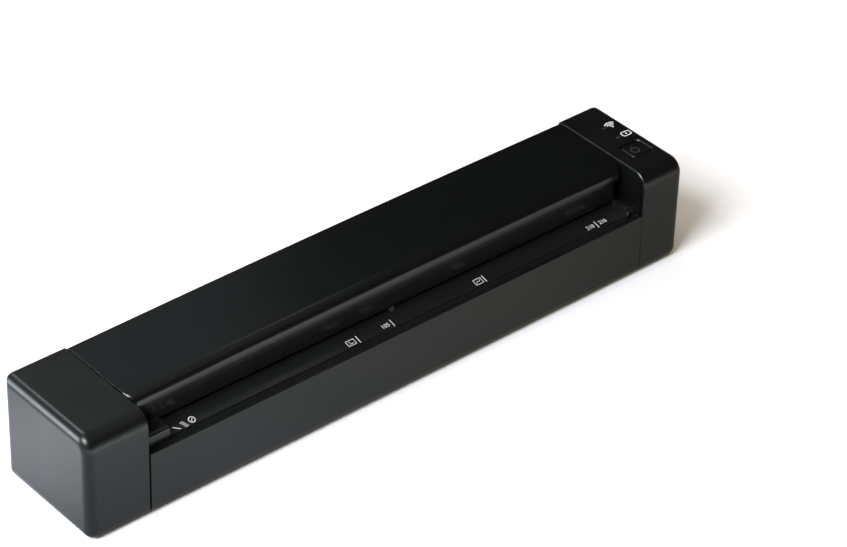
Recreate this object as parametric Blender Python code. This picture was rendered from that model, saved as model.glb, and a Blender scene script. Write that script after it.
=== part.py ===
"""Handheld wand scanner: a sheet-fed document scanner of A4 width, with its cover, paper path and drive.

Metres, +Z up. X runs along the length, with the power button at +X. The paper goes in at the front (-Y) and
comes out at the back (+Y). The origin is on the standing surface, under the middle of the body.
"""

import math

import bmesh
import bpy
from mathutils import Matrix, Vector

# Outside of the body
BODY_LENGTH = 0.2906
BODY_DEPTH = 0.0515
BODY_HEIGHT = 0.0460
LEFT_CAP_LENGTH = 0.0272
RIGHT_CAP_LENGTH = 0.0214
FOOT_STAND = 0.0005
SHELL_WALL = 0.0018
SEAM = 0.0004
GAP = 0.0003

# Fillets of the body's outline
CAP_FRONT_TOP_RADIUS = 0.0065
CAP_BACK_TOP_RADIUS = 0.0020
UNDERSIDE_RADIUS = 0.0032
END_FACE_RADIUS = 0.0040
LEAST_RADIUS = 0.0003
EDGE_RADIUS = 0.0004
RIM_CHAMFER = 0.0004

# Paper path
PATH_HEIGHT = 0.0288
PATH_OPENING = 0.0012
GUIDE_THICKNESS = 0.0016
UPPER_GUIDE_WALL = 0.0012
MOUTH_DEPTH = 0.01115
FRONT_PANEL_DROP = 0.0012
LEDGE_SETBACK = 0.00425
LEDGE_FRONT_DROP = 0.0009
LEDGE_STEP = 0.0006
LEDGE_RUN = 0.0055
LEDGE_CREST_RISE = 0.00055
LEDGE_CREST_RADIUS = 0.0060
LEDGE_FALL_RUN = 0.0024
SIDE_BLOCK_LENGTH = 0.0107
SIDE_BLOCK_SETBACK = 0.00285
SIDE_BLOCK_RISE = 0.0047
SIDE_BLOCK_RADIUS = 0.0014
FIN_INSET = 0.0056
FIN_SETBACK = 0.00215
FIN_RISE = 0.0037
FIN_RADIUS = 0.0028
FIN_THICKNESS = 0.0010

# Top cover
COVER_DROP = 0.0005
COVER_WALL = 0.0016
COVER_CROWN = 0.0008
COVER_FALL_RUN = 0.0056
COVER_FALL = 0.0004
COVER_FALL_RADIUS = 0.0300
LIP_THICKNESS = 0.0012
LIP_RADIUS = 0.0044
LIP_HEIGHT = 0.00475
LIP_CROWN = 0.0005
LIP_LAP = 0.0004
LIP_CORNER_RADIUS = 0.0050
COVER_END_WALL = 0.0018
HINGE_INSET = 0.00575
HINGE_PIN_RADIUS = 0.0015
HINGE_PIN_REACH = 0.0050

# Rollers
FEED_BEHIND_WALL = 0.0057
EXIT_INSET = 0.0080
ROLLER_PROUD = 0.0004
SLEEVE_RADIUS = 0.0040
SLEEVE_LENGTH = 0.0240
SLEEVE_INSET = 0.0570
SHAFT_RADIUS = 0.0017
JOURNAL_RADIUS = 0.0015
BUSHING_RADIUS = 0.0030
BUSHING_FLANGE_RADIUS = 0.0038
BUSHING_FLANGE = 0.0008
PINCH_RADIUS = 0.0032
PINCH_LENGTH = 0.0140
PINCH_AXLE_RADIUS = 0.0008
PINCH_AXLE_OVERHANG = 0.0010
PINCH_LUG_OFFSET = 0.0075
PINCH_LUG_THICKNESS = 0.0030
PINCH_LUG_WALL = 0.0014
PINCH_SPRING_OFFSET = 0.0040
PINCH_SPRING_WIDTH = 0.0050
PINCH_SPRING_RISE = 0.0017
SPRING_THICKNESS = 0.0004

# Chassis plates and gears
PLATE_THICKNESS = 0.0020
GEAR_MODULE = 0.0007
GEAR_WIDTH = 0.0032
GEAR_LAYER_GAP = 0.0008
GEAR_POST_RADIUS = 0.0012
ROLLER_TEETH = 14
LEAST_TRANSFER_TEETH = 22
REDUCTION_SMALL_TEETH = 10
REDUCTION_LARGE_TEETH = 26
PINION_TEETH = 9
ADDENDUM_SHARE = 0.60
DEDENDUM_SHARE = 0.95
TOOTH_ROOT_SHARE = 0.46
TOOTH_PITCH_SHARE = 0.36
TOOTH_TIP_SHARE = 0.22
REDUCTION_AHEAD = 0.0056
MOTOR_BEHIND = 0.0110
MOTOR_RADIUS = 0.0065
MOTOR_LENGTH = 0.0220
MOTOR_SHAFT_RADIUS = 0.0010
MOTOR_SHAFT_DEPTH = 0.0030

# Image sensor
SENSOR_DEPTH = 0.0072
SENSOR_HEIGHT = 0.0080
SENSOR_INSET = 0.0019
SENSOR_BELOW_PATH = 0.0001
SENSOR_WALL = 0.0012
SENSOR_SLOT = 0.0030
GLASS_THICKNESS = 0.0010
SENSOR_BOARD_THICKNESS = 0.0010
STRAP_INSET = 0.0200
STRAP_WIDTH = 0.0080
STRAP_THICKNESS = 0.0012
STRAP_DROP = 0.0021
SENSOR_SPRING_LENGTH = 0.0140
SENSOR_SPRING_WIDTH = 0.0050
STRIP_DEPTH = 0.0076
STRIP_THICKNESS = 0.0004
STRIP_RECESS = 0.0007

# Paper flag
FLAG_BEHIND_LIP = 0.0006
FLAG_BELOW_FLOOR = 0.0026
FLAG_THICKNESS = 0.0020
FLAG_HUB_RADIUS = 0.0020
FLAG_PIN_RADIUS = 0.0008
FLAG_PIN_HALF_LENGTH = 0.0046
FLAG_TIP_LEAN = 0.0016
FLAG_TIP_ABOVE_PATH = 0.0007
FLAG_ARM_WIDTH = 0.0014
FLAG_TAIL_LEAN = 0.0015
FLAG_TAIL_DROP = 0.0066
FLAG_SWEEP = 0.0060
FLAG_LUG_THICKNESS = 0.0020
FLAG_LUG_HALF_DEPTH = 0.0022

# Electronics
MAIN_BOARD_LENGTH = 0.1520
MAIN_BOARD_HEIGHT = 0.0050
BOARD_END_ROOM = 0.0009
BOARD_THICKNESS = 0.0012
BOARD_POST_RADIUS = 0.0020
BOARD_POST_INSET = 0.0060
CHIP_HEIGHT = 0.0012
CHIP_SIDE = 0.0120
CHIP_COUNT = 4
RADIO_LENGTH = 0.0200
RADIO_DEPTH = 0.0140
RADIO_HEIGHT = 0.0026
RADIO_INSET = 0.0370
BATTERY_INSET = 0.0286
BATTERY_BOARD_ROOM = 0.0100
BATTERY_SIDE_ROOM = 0.0070
BATTERY_HEIGHT = 0.0090
BATTERY_RADIUS = 0.0030
CARD_SOCKET_Y = -0.0060
CARD_SOCKET_WIDTH = 0.0140
CARD_SOCKET_DEPTH = 0.0130
CARD_SOCKET_HEIGHT = 0.0020
CARD_SLOT_WIDTH = 0.0116
CARD_SLOT_HEIGHT = 0.0010
USB_Y = 0.0085
USB_WIDTH = 0.0080
USB_DEPTH = 0.0056
USB_HEIGHT = 0.0030
USB_SHELL = 0.0004
PORT_CLEARANCE = 0.0004
CONTROL_BOARD_DROP = 0.0120
CONTROL_SIDE_ROOM = 0.0080
SWITCH_SIDE = 0.0060
SWITCH_HEIGHT = 0.0030
SWITCH_PLUNGER_RADIUS = 0.0015
SWITCH_PLUNGER = 0.0010

# Button and light guides
BUTTON_INSET = 0.0102
BUTTON_Y = -0.0080
BUTTON_LENGTH = 0.0096
BUTTON_DEPTH = 0.0088
BUTTON_CORNER = 0.0016
BUTTON_SINK = 0.0003
BUTTON_TRAVEL = 0.0005
BUTTON_CHAMFER = 0.0004
BUTTON_HOLE_CHAMFER = 0.0005
BUTTON_FLANGE = 0.0008
BUTTON_STEM_RADIUS = 0.0020
LIGHT_INSET = 0.0103
WIRELESS_LIGHT_Y = 0.0104
BATTERY_LIGHT_Y = 0.0022
LIGHT_LENGTH = 0.0020
LIGHT_DEPTH = 0.0014
LIGHT_SINK = 0.0001
LAMP_HEIGHT = 0.0008

# Feet and screws
FOOT_RADIUS = 0.0040
FOOT_THICKNESS = 0.0008
FOOT_INSET_X = 0.0086
FOOT_INSET_Y = 0.00775
SCREW_INSET_X = 0.0186
SCREW_RADIUS = 0.0010
SCREW_HEAD_RADIUS = 0.0017
SCREW_HEAD_HEIGHT = 0.0009
SCREW_LENGTH = 0.0120
SCREW_SLOT = 0.0006
SCREW_CROSS = 0.0010
HOUSING_BOSS_TOP = 0.0070
BOSS_RADIUS = 0.0019

# Modelling
ARC_STEP = math.radians(18)
ROUND_SIDES = 24
SMALL_ROUND_SIDES = 16
END_FACE_STEPS = 6
CROWN_STEPS = 4
SPRING_STEPS = 8
OVERRUN = 0.0010
SUNK = 0.0004
SMOOTH_ANGLE = math.radians(35)

# Places along the body that follow from the sizes above
HALF_LENGTH = 0.5 * BODY_LENGTH
LEFT_SEAM = -HALF_LENGTH + LEFT_CAP_LENGTH
RIGHT_SEAM = HALF_LENGTH - RIGHT_CAP_LENGTH
MIDDLE_LEFT = LEFT_SEAM + SEAM
MIDDLE_RIGHT = RIGHT_SEAM - SEAM
PAPER_LEFT = MIDDLE_LEFT + SIDE_BLOCK_LENGTH
PAPER_RIGHT = MIDDLE_RIGHT - FIN_INSET - FIN_THICKNESS
PATH_MIDDLE = 0.5 * (PAPER_LEFT + PAPER_RIGHT)
SLEEVE_SPREAD = 0.5 * (PAPER_RIGHT - PAPER_LEFT) - SLEEVE_INSET
PINCH_SPRING_SPREAD = SLEEVE_SPREAD + PINCH_LENGTH / 2 + PINCH_SPRING_OFFSET
PINCH_LUG_SPREAD = PINCH_SPRING_SPREAD + PINCH_LUG_OFFSET
PINCH_AXLE_HALF_LENGTH = PINCH_LUG_SPREAD + PINCH_LUG_THICKNESS / 2 + PINCH_AXLE_OVERHANG
SENSOR_LEFT = PAPER_LEFT + SENSOR_INSET
SENSOR_RIGHT = PAPER_RIGHT - SENSOR_INSET
FLAG_X = PATH_MIDDLE
LEFT_PLATE_IN = MIDDLE_LEFT - GAP
LEFT_PLATE_OUT = LEFT_PLATE_IN - PLATE_THICKNESS
RIGHT_PLATE_IN = MIDDLE_RIGHT + GAP
RIGHT_PLATE_OUT = RIGHT_PLATE_IN + PLATE_THICKNESS
BUSHING_OUT = GAP + BUSHING_FLANGE
GEAR_IN = LEFT_PLATE_OUT - BUSHING_OUT - GAP
GEAR_OUT = GEAR_IN - GEAR_WIDTH
LARGE_GEAR_IN = GEAR_OUT - GEAR_LAYER_GAP
LARGE_GEAR_OUT = LARGE_GEAR_IN - GEAR_WIDTH
PORT_FACE = HALF_LENGTH - SHELL_WALL - GAP
MAIN_BOARD_RIGHT = PORT_FACE - BOARD_END_ROOM
MAIN_BOARD_LEFT = MAIN_BOARD_RIGHT - MAIN_BOARD_LENGTH
RADIO_X = MAIN_BOARD_RIGHT - RADIO_INSET
BATTERY_LEFT = MIDDLE_LEFT + BATTERY_INSET
BATTERY_RIGHT = MAIN_BOARD_LEFT - BATTERY_BOARD_ROOM
BUTTON_X = HALF_LENGTH - BUTTON_INSET
LIGHT_X = HALF_LENGTH - LIGHT_INSET

# Places across the body and in height that follow from the sizes above
HALF_DEPTH = 0.5 * BODY_DEPTH
INNER_HALF_DEPTH = HALF_DEPTH - SHELL_WALL
FLOOR = FOOT_STAND + SHELL_WALL
CAP_CEILING = BODY_HEIGHT - SHELL_WALL
COVER_TOP = BODY_HEIGHT - COVER_DROP
COVER_CEILING = COVER_TOP - COVER_WALL
COVER_BACK = HALF_DEPTH - GAP
GUIDE_FLOOR = PATH_HEIGHT - GUIDE_THICKNESS
GUIDE_FRONT = -INNER_HALF_DEPTH + GAP
GUIDE_BACK = HALF_DEPTH - GAP
FRONT_PANEL_HEIGHT = PATH_HEIGHT - FRONT_PANEL_DROP
BACK_PANEL_HEIGHT = GUIDE_FLOOR - GAP
LEDGE_FRONT = -HALF_DEPTH + LEDGE_SETBACK
LEDGE_FRONT_HEIGHT = PATH_HEIGHT - LEDGE_FRONT_DROP
LEDGE_FLANGE = LEDGE_FRONT_HEIGHT - LEDGE_STEP
LEDGE_CREST = LEDGE_FRONT + LEDGE_RUN
LEDGE_CREST_HEIGHT = PATH_HEIGHT + LEDGE_CREST_RISE
LEDGE_RUN_IN = LEDGE_CREST + LEDGE_FALL_RUN
PATH_CEILING = PATH_HEIGHT + PATH_OPENING
LIP_FACE = -HALF_DEPTH + MOUTH_DEPTH
LIP_BOTTOM = COVER_TOP - LIP_HEIGHT
COVER_CREASE = LIP_FACE + COVER_FALL_RUN
UPPER_GUIDE_TOP = PATH_CEILING + UPPER_GUIDE_WALL
UPPER_GUIDE_FACE = LIP_FACE + LIP_THICKNESS + GAP
UPPER_WALL_TOP = LIP_BOTTOM + LIP_CROWN + LIP_LAP
UPPER_GUIDE_CORNER_RADIUS = LIP_CORNER_RADIUS - LIP_THICKNESS - GAP
COVER_BACK_BOTTOM = UPPER_GUIDE_TOP - GAP
END_WALL_BOTTOM = UPPER_GUIDE_TOP + GAP
HINGE_Y = HALF_DEPTH - HINGE_INSET
HINGE_Z = 0.5 * (END_WALL_BOTTOM + COVER_CEILING)
FEED_Y = UPPER_GUIDE_FACE + FEED_BEHIND_WALL
EXIT_Y = HALF_DEPTH - EXIT_INSET
ROLLER_Z = PATH_HEIGHT + ROLLER_PROUD - SLEEVE_RADIUS
PINCH_Z = PATH_HEIGHT + ROLLER_PROUD + GAP + PINCH_RADIUS
PINCH_SPRING_Z = PINCH_Z + PINCH_AXLE_RADIUS + GAP
SENSOR_Y = 0.5 * (FEED_Y + EXIT_Y)
SENSOR_TOP = PATH_HEIGHT - SENSOR_BELOW_PATH
SENSOR_BOTTOM = SENSOR_TOP - SENSOR_HEIGHT
FLAG_Y = LIP_FACE + FLAG_BEHIND_LIP
FLAG_Z = GUIDE_FLOOR - FLAG_BELOW_FLOOR
FOOT_Y = HALF_DEPTH - FOOT_INSET_Y
SCREW_Y = INNER_HALF_DEPTH - BOSS_RADIUS - GAP
MAIN_BOARD_HALF_DEPTH = SCREW_Y - BOSS_RADIUS - GAP
BATTERY_HALF_DEPTH = INNER_HALF_DEPTH - BATTERY_SIDE_ROOM
BOARD_TOP = MAIN_BOARD_HEIGHT + BOARD_THICKNESS
CONTROL_BOARD_HEIGHT = BODY_HEIGHT - CONTROL_BOARD_DROP
CONTROL_TOP = CONTROL_BOARD_HEIGHT + BOARD_THICKNESS

# The gear train, where the transfer gear is large enough to reach both rollers' gears
TRANSFER_REACH_TEETH = math.ceil((EXIT_Y - FEED_Y) / GEAR_MODULE) - ROLLER_TEETH
TRANSFER_TEETH = max(LEAST_TRANSFER_TEETH, TRANSFER_REACH_TEETH)
TRANSFER_MESH = 0.5 * GEAR_MODULE * (ROLLER_TEETH + TRANSFER_TEETH)
TRANSFER_Y = 0.5 * (FEED_Y + EXIT_Y)
TRANSFER_Z = ROLLER_Z + math.sqrt(TRANSFER_MESH**2 - (TRANSFER_Y - FEED_Y) ** 2)
SMALL_MESH = 0.5 * GEAR_MODULE * (REDUCTION_SMALL_TEETH + ROLLER_TEETH)
LARGE_MESH = 0.5 * GEAR_MODULE * (REDUCTION_LARGE_TEETH + PINION_TEETH)
REDUCTION_Y = FEED_Y - REDUCTION_AHEAD
REDUCTION_Z = ROLLER_Z - math.sqrt(SMALL_MESH**2 - REDUCTION_AHEAD**2)
MOTOR_Y = REDUCTION_Y + MOTOR_BEHIND
MOTOR_Z = REDUCTION_Z - math.sqrt(LARGE_MESH**2 - MOTOR_BEHIND**2)


def clear_scene():
    for thing in list(bpy.data.objects):
        bpy.data.objects.remove(thing)


def material(name, colour, roughness, metallic=0.0):
    """A Principled material, made once and shared by name."""
    found = bpy.data.materials.get(name)
    if found:
        return found
    made = bpy.data.materials.new(name)
    made.use_nodes = True
    made.diffuse_color = (*colour, 1.0)
    shader = made.node_tree.nodes["Principled BSDF"]
    shader.inputs["Base Color"].default_value = (*colour, 1.0)
    shader.inputs["Roughness"].default_value = roughness
    shader.inputs["Metallic"].default_value = metallic
    return made


def satin_black():
    return material("satin_black", (0.030, 0.031, 0.033), 0.32)


def gloss_black():
    return material("gloss_black", (0.012, 0.012, 0.013), 0.10)


def chassis_grey():
    return material("chassis_grey", (0.050, 0.050, 0.052), 0.55)


def white_plastic():
    return material("white_plastic", (0.80, 0.80, 0.78), 0.50)


def gear_plastic():
    return material("gear_plastic", (0.78, 0.76, 0.68), 0.45)


def bushing_bronze():
    return material("bushing_bronze", (0.50, 0.30, 0.13), 0.35, 1.0)


def steel():
    return material("steel", (0.58, 0.58, 0.60), 0.28, 1.0)


def spring_steel():
    return material("spring_steel", (0.45, 0.45, 0.47), 0.35, 1.0)


def roller_rubber():
    return material("roller_rubber", (0.075, 0.075, 0.078), 0.80)


def foot_rubber():
    return material("foot_rubber", (0.040, 0.040, 0.041), 0.85)


def board_green():
    return material("board_green", (0.020, 0.140, 0.060), 0.45)


def socket_metal():
    return material("socket_metal", (0.62, 0.62, 0.63), 0.30, 1.0)


def battery_wrap():
    return material("battery_wrap", (0.060, 0.090, 0.220), 0.40)


def sensor_glass():
    return material("sensor_glass", (0.55, 0.62, 0.60), 0.05)


def light_guide_clear():
    return material("light_guide_clear", (0.35, 0.36, 0.38), 0.20)


def outline(corners):
    """The closed outline through corners (y, z, radius), counter-clockwise seen from +X, with its fillets."""
    points = []
    for index, (y, z, radius) in enumerate(corners):
        here = Vector((y, z))
        if radius <= 0:
            points.append(here)
            continue
        back = (Vector(corners[index - 1][:2]) - here).normalized()
        ahead = (Vector(corners[(index + 1) % len(corners)][:2]) - here).normalized()
        inside = back.angle(ahead)
        centre = here + (back + ahead).normalized() * (radius / math.sin(inside / 2))
        start = here + back * (radius / math.tan(inside / 2)) - centre
        turn = math.copysign(math.pi - inside, back.y * ahead.x - back.x * ahead.y)
        steps = max(2, math.ceil(abs(turn) / ARC_STEP))
        for step in range(steps + 1):
            points.append(centre + Matrix.Rotation(turn * step / steps, 2) @ start)
    return points


def circle(y, z, radius, sides=ROUND_SIDES):
    angles = [math.tau * side / sides for side in range(sides)]
    return [Vector((y + radius * math.cos(angle), z + radius * math.sin(angle))) for angle in angles]


def loft(sections, ring=False):
    """A mesh through sections (x, outline) of equal point counts, capped at both ends or closed to a ring."""
    mesh = bmesh.new()
    rows = [[mesh.verts.new((x, point.x, point.y)) for point in points] for x, points in sections]
    following = rows[1:] + rows[:1] if ring else rows[1:]
    for row, after in zip(rows, following):
        for index in range(len(row)):
            mesh.faces.new((row[index - 1], row[index], after[index], after[index - 1]))
    if not ring:
        mesh.faces.new(rows[0])
        mesh.faces.new(rows[-1])
    bmesh.ops.recalc_face_normals(mesh, faces=mesh.faces)
    return mesh


def add(name, mesh, finish, origin=(0, 0, 0)):
    """Puts a mesh made in world places into the scene, as an object with its origin where it is asked for."""
    origin = Vector(origin)
    bmesh.ops.translate(mesh, verts=mesh.verts, vec=-origin)
    data = bpy.data.meshes.new(name)
    mesh.to_mesh(data)
    mesh.free()
    data.shade_smooth()
    data.set_sharp_from_angle(angle=SMOOTH_ANGLE)
    made = bpy.data.objects.new(name, data)
    made.location = origin
    bpy.context.scene.collection.objects.link(made)
    if finish:
        data.materials.append(finish)
    return made


def prism(name, points, x0, x1, finish, origin=(0, 0, 0)):
    return add(name, loft([(x0, points), (x1, points)]), finish, origin)


def block(name, low, high, finish, origin=(0, 0, 0)):
    corners = [(low[1], low[2], 0), (high[1], low[2], 0), (high[1], high[2], 0), (low[1], high[2], 0)]
    return prism(name, outline(corners), low[0], high[0], finish, origin)


def turned(name, y, z, profile, finish, sides=ROUND_SIDES, origin=(0, 0, 0)):
    """A solid turned about the line along X through (y, z), from a profile of (x, radius)."""
    return add(name, loft([(x, circle(y, z, radius, sides)) for x, radius in profile]), finish, origin)


def sleeve(name, y, z, bore, profile, finish, sides=ROUND_SIDES, origin=(0, 0, 0)):
    """A turned solid with a bore right through, from a profile of (x, radius)."""
    (first, _), (last, _) = profile[0], profile[-1]
    path = [(first, bore), *profile, (last, bore)]
    rings = [(x, circle(y, z, radius, sides)) for x, radius in path]
    return add(name, loft(rings, ring=True), finish, origin)


def upright(name, x, y, profile, finish, sides=SMALL_ROUND_SIDES, origin=(0, 0, 0)):
    """A solid turned about the vertical line through (x, y), from a profile of (z, radius)."""
    mesh = loft([(z, circle(0, 0, radius, sides)) for z, radius in profile])
    upright_pose = Matrix.Translation((x, y, 0)) @ Matrix.Rotation(-math.pi / 2, 4, "Y")
    bmesh.ops.transform(mesh, matrix=upright_pose, verts=mesh.verts)
    bmesh.ops.recalc_face_normals(mesh, faces=mesh.faces)
    return add(name, mesh, finish, origin)


def helper(tool):
    """Marks an object that only shapes another."""
    tool.hide_render = True
    tool.display_type = "WIRE"
    tool.name = "tool_" + tool.name
    return tool


def combine(target, tool, operation):
    step = target.modifiers.new(operation.lower() + "_" + tool.name, "BOOLEAN")
    step.operation = operation
    step.solver = "EXACT"
    step.object = helper(tool)
    tool.parent = target
    tool.location = tool.location - target.location


def cut(target, *tools):
    for tool in tools:
        combine(target, tool, "DIFFERENCE")


def join(target, *tools):
    for tool in tools:
        combine(target, tool, "UNION")


def axis_empty(name, place):
    empty = bpy.data.objects.new(name, None)
    empty.location = place
    empty.empty_display_size = SLEEVE_RADIUS
    bpy.context.scene.collection.objects.link(empty)
    return empty


def carry(empty, *pieces):
    """Hangs pieces on the empty of their joint, where they are."""
    for piece in pieces:
        piece.parent = empty
        piece.location = piece.location - empty.location


def cap_outline(inset):
    """The body's outline at the caps, drawn in by inset."""
    low = FOOT_STAND + inset
    high = BODY_HEIGHT - inset
    side = HALF_DEPTH - inset
    radii = (CAP_FRONT_TOP_RADIUS, UNDERSIDE_RADIUS, UNDERSIDE_RADIUS, CAP_BACK_TOP_RADIUS)
    front_top, front_low, back_low, back_top = (max(radius - inset, LEAST_RADIUS) for radius in radii)
    front = [(-side, high, front_top), (-side, low, front_low)]
    return outline(front + [(side, low, back_low), (side, high, back_top)])


def end_cap(name, seam, end):
    """A shell open at its seam, with its end face rounded over."""
    outward = math.copysign(1, end - seam)
    inner_end = end - outward * SHELL_WALL
    sections = [(inner_end, cap_outline(SHELL_WALL)), (seam, cap_outline(SHELL_WALL))]
    sections += [(seam, cap_outline(RIM_CHAMFER)), (seam + outward * RIM_CHAMFER, cap_outline(0))]
    for step in range(END_FACE_STEPS + 1):
        angle = step / END_FACE_STEPS * math.pi / 2
        x = end - outward * END_FACE_RADIUS * (1 - math.sin(angle))
        sections.append((x, cap_outline(END_FACE_RADIUS * (1 - math.cos(angle)))))
    return add(name, loft(sections), satin_black())


def rounded_ring(x, y, z, length, depth, corner, spread=0.0):
    """The points of a level rounded rectangle, widened all round by spread."""
    half_x, half_y = length / 2 + spread, depth / 2 + spread
    corners = [(-half_x, -half_y), (half_x, -half_y), (half_x, half_y), (-half_x, half_y)]
    return [(x + p.x, y + p.y, z) for p in outline([(a, b, corner + spread) for a, b in corners])]


def stacked(levels):
    """A mesh up through level rings with as many points each, closed below and above."""
    mesh = bmesh.new()
    rings = [[mesh.verts.new(point) for point in level] for level in levels]
    for lower, upper in zip(rings, rings[1:]):
        for index in range(len(lower)):
            mesh.faces.new((lower[index - 1], lower[index], upper[index], upper[index - 1]))
    mesh.faces.new(rings[0])
    mesh.faces.new(rings[-1])
    bmesh.ops.recalc_face_normals(mesh, faces=mesh.faces)
    return mesh


def rounded_tool(name, x, y, length, depth, corner, low, high):
    """An upright cutter with a rounded rectangle for its plan."""
    return add(name, stacked([rounded_ring(x, y, z, length, depth, corner) for z in (low, high)]), None)


def left_end_cap():
    end_cap("left_end_cap", LEFT_SEAM, -HALF_LENGTH)


def right_end_cap():
    """The cap with the power button, the two lights and the two ports."""
    cap = end_cap("right_end_cap", RIGHT_SEAM, HALF_LENGTH)
    over = BODY_HEIGHT + OVERRUN
    under = CAP_CEILING - OVERRUN
    rim = BODY_HEIGHT - BUTTON_HOLE_CHAMFER
    flare = ((under, 0), (rim, 0), (over, BUTTON_HOLE_CHAMFER + OVERRUN))
    levels = [button_ring(z, GAP + spread) for z, spread in flare]
    cut(cap, add("button_hole", stacked(levels), None))
    for name, y in (("wireless_hole", WIRELESS_LIGHT_Y), ("battery_hole", BATTERY_LIGHT_Y)):
        length = LIGHT_LENGTH + 2 * GAP
        depth = LIGHT_DEPTH + 2 * GAP
        cut(cap, rounded_tool(name, LIGHT_X, y, length, depth, LEAST_RADIUS, under, over))
    ports = (
        ("card_hole", CARD_SOCKET_Y, CARD_SOCKET_WIDTH, CARD_SOCKET_HEIGHT),
        ("usb_hole", USB_Y, USB_WIDTH, USB_HEIGHT),
    )
    for name, y, width, height in ports:
        low = BOARD_TOP + GAP - PORT_CLEARANCE
        high = BOARD_TOP + GAP + height + PORT_CLEARANCE
        side = width / 2 + PORT_CLEARANCE
        corners = [(y - side, low), (y + side, low), (y + side, high), (y - side, high)]
        points = outline([(a, b, LEAST_RADIUS) for a, b in corners])
        cut(cap, prism(name, points, HALF_LENGTH - SHELL_WALL - OVERRUN, HALF_LENGTH + OVERRUN, None))


def hole_along_x(name, y, z, radius, x0, x1):
    return turned(name, y, z, [(x0, radius), (x1, radius)], None)


def chassis_plate(name, inside, outside):
    """A plate that fills a cap's mouth, bored for the two bushings and the hinge pin."""
    plate = prism(name, cap_outline(SHELL_WALL + GAP), inside, outside, satin_black())
    low = min(inside, outside) - OVERRUN
    high = max(inside, outside) + OVERRUN
    cut(plate, hole_along_x(name + "_feed_hole", FEED_Y, ROLLER_Z, BUSHING_RADIUS + GAP, low, high))
    cut(plate, hole_along_x(name + "_exit_hole", EXIT_Y, ROLLER_Z, BUSHING_RADIUS + GAP, low, high))
    cut(plate, hole_along_x(name + "_pin_hole", HINGE_Y, HINGE_Z, HINGE_PIN_RADIUS + GAP, low, high))
    return plate


def left_chassis_plate():
    """The plate that carries the motor and the two gears that turn on posts."""
    plate = chassis_plate("left_chassis_plate", LEFT_PLATE_IN, LEFT_PLATE_OUT)
    low = LEFT_PLATE_OUT - OVERRUN
    high = LEFT_PLATE_IN + OVERRUN
    cut(plate, hole_along_x("motor_shaft_hole", MOTOR_Y, MOTOR_Z, MOTOR_SHAFT_RADIUS + 2 * GAP, low, high))
    posts = (
        ("transfer_post", TRANSFER_Y, TRANSFER_Z, GEAR_OUT),
        ("reduction_post", REDUCTION_Y, REDUCTION_Z, LARGE_GEAR_OUT),
    )
    for name, y, z, end in posts:
        root = LEFT_PLATE_OUT + SUNK
        shoulder = GEAR_IN + GAP
        profile = [(root, 2 * GEAR_POST_RADIUS), (shoulder, 2 * GEAR_POST_RADIUS)]
        profile += [(shoulder, GEAR_POST_RADIUS), (end - GAP, GEAR_POST_RADIUS)]
        join(plate, turned(name, y, z, profile, None, SMALL_ROUND_SIDES))


def right_chassis_plate():
    """The plate that the main board passes through."""
    plate = chassis_plate("right_chassis_plate", RIGHT_PLATE_IN, RIGHT_PLATE_OUT)
    side = MAIN_BOARD_HALF_DEPTH + 2 * GAP
    low = (RIGHT_PLATE_IN - OVERRUN, -side, MAIN_BOARD_HEIGHT - 2 * GAP)
    high = (RIGHT_PLATE_OUT + OVERRUN, side, BOARD_TOP + CARD_SOCKET_HEIGHT)
    cut(plate, block("board_slot", low, high, None))


def foot_places():
    for side, x in (("left", MIDDLE_LEFT + FOOT_INSET_X), ("right", MIDDLE_RIGHT - FOOT_INSET_X)):
        for row, y in (("front", -FOOT_Y), ("back", FOOT_Y)):
            yield row + "_" + side, x, y


def screw_places():
    for side, x in (("left", MIDDLE_LEFT + SCREW_INSET_X), ("right", MIDDLE_RIGHT - SCREW_INSET_X)):
        for row, y in (("front", -SCREW_Y), ("back", SCREW_Y)):
            yield row + "_" + side, x, y


def board_post_places():
    for x in (MAIN_BOARD_LEFT + BOARD_POST_INSET, MIDDLE_RIGHT - BOARD_POST_INSET):
        for side in (-1, 1):
            yield x, side * (MAIN_BOARD_HALF_DEPTH - BOARD_POST_INSET / 2)


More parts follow.
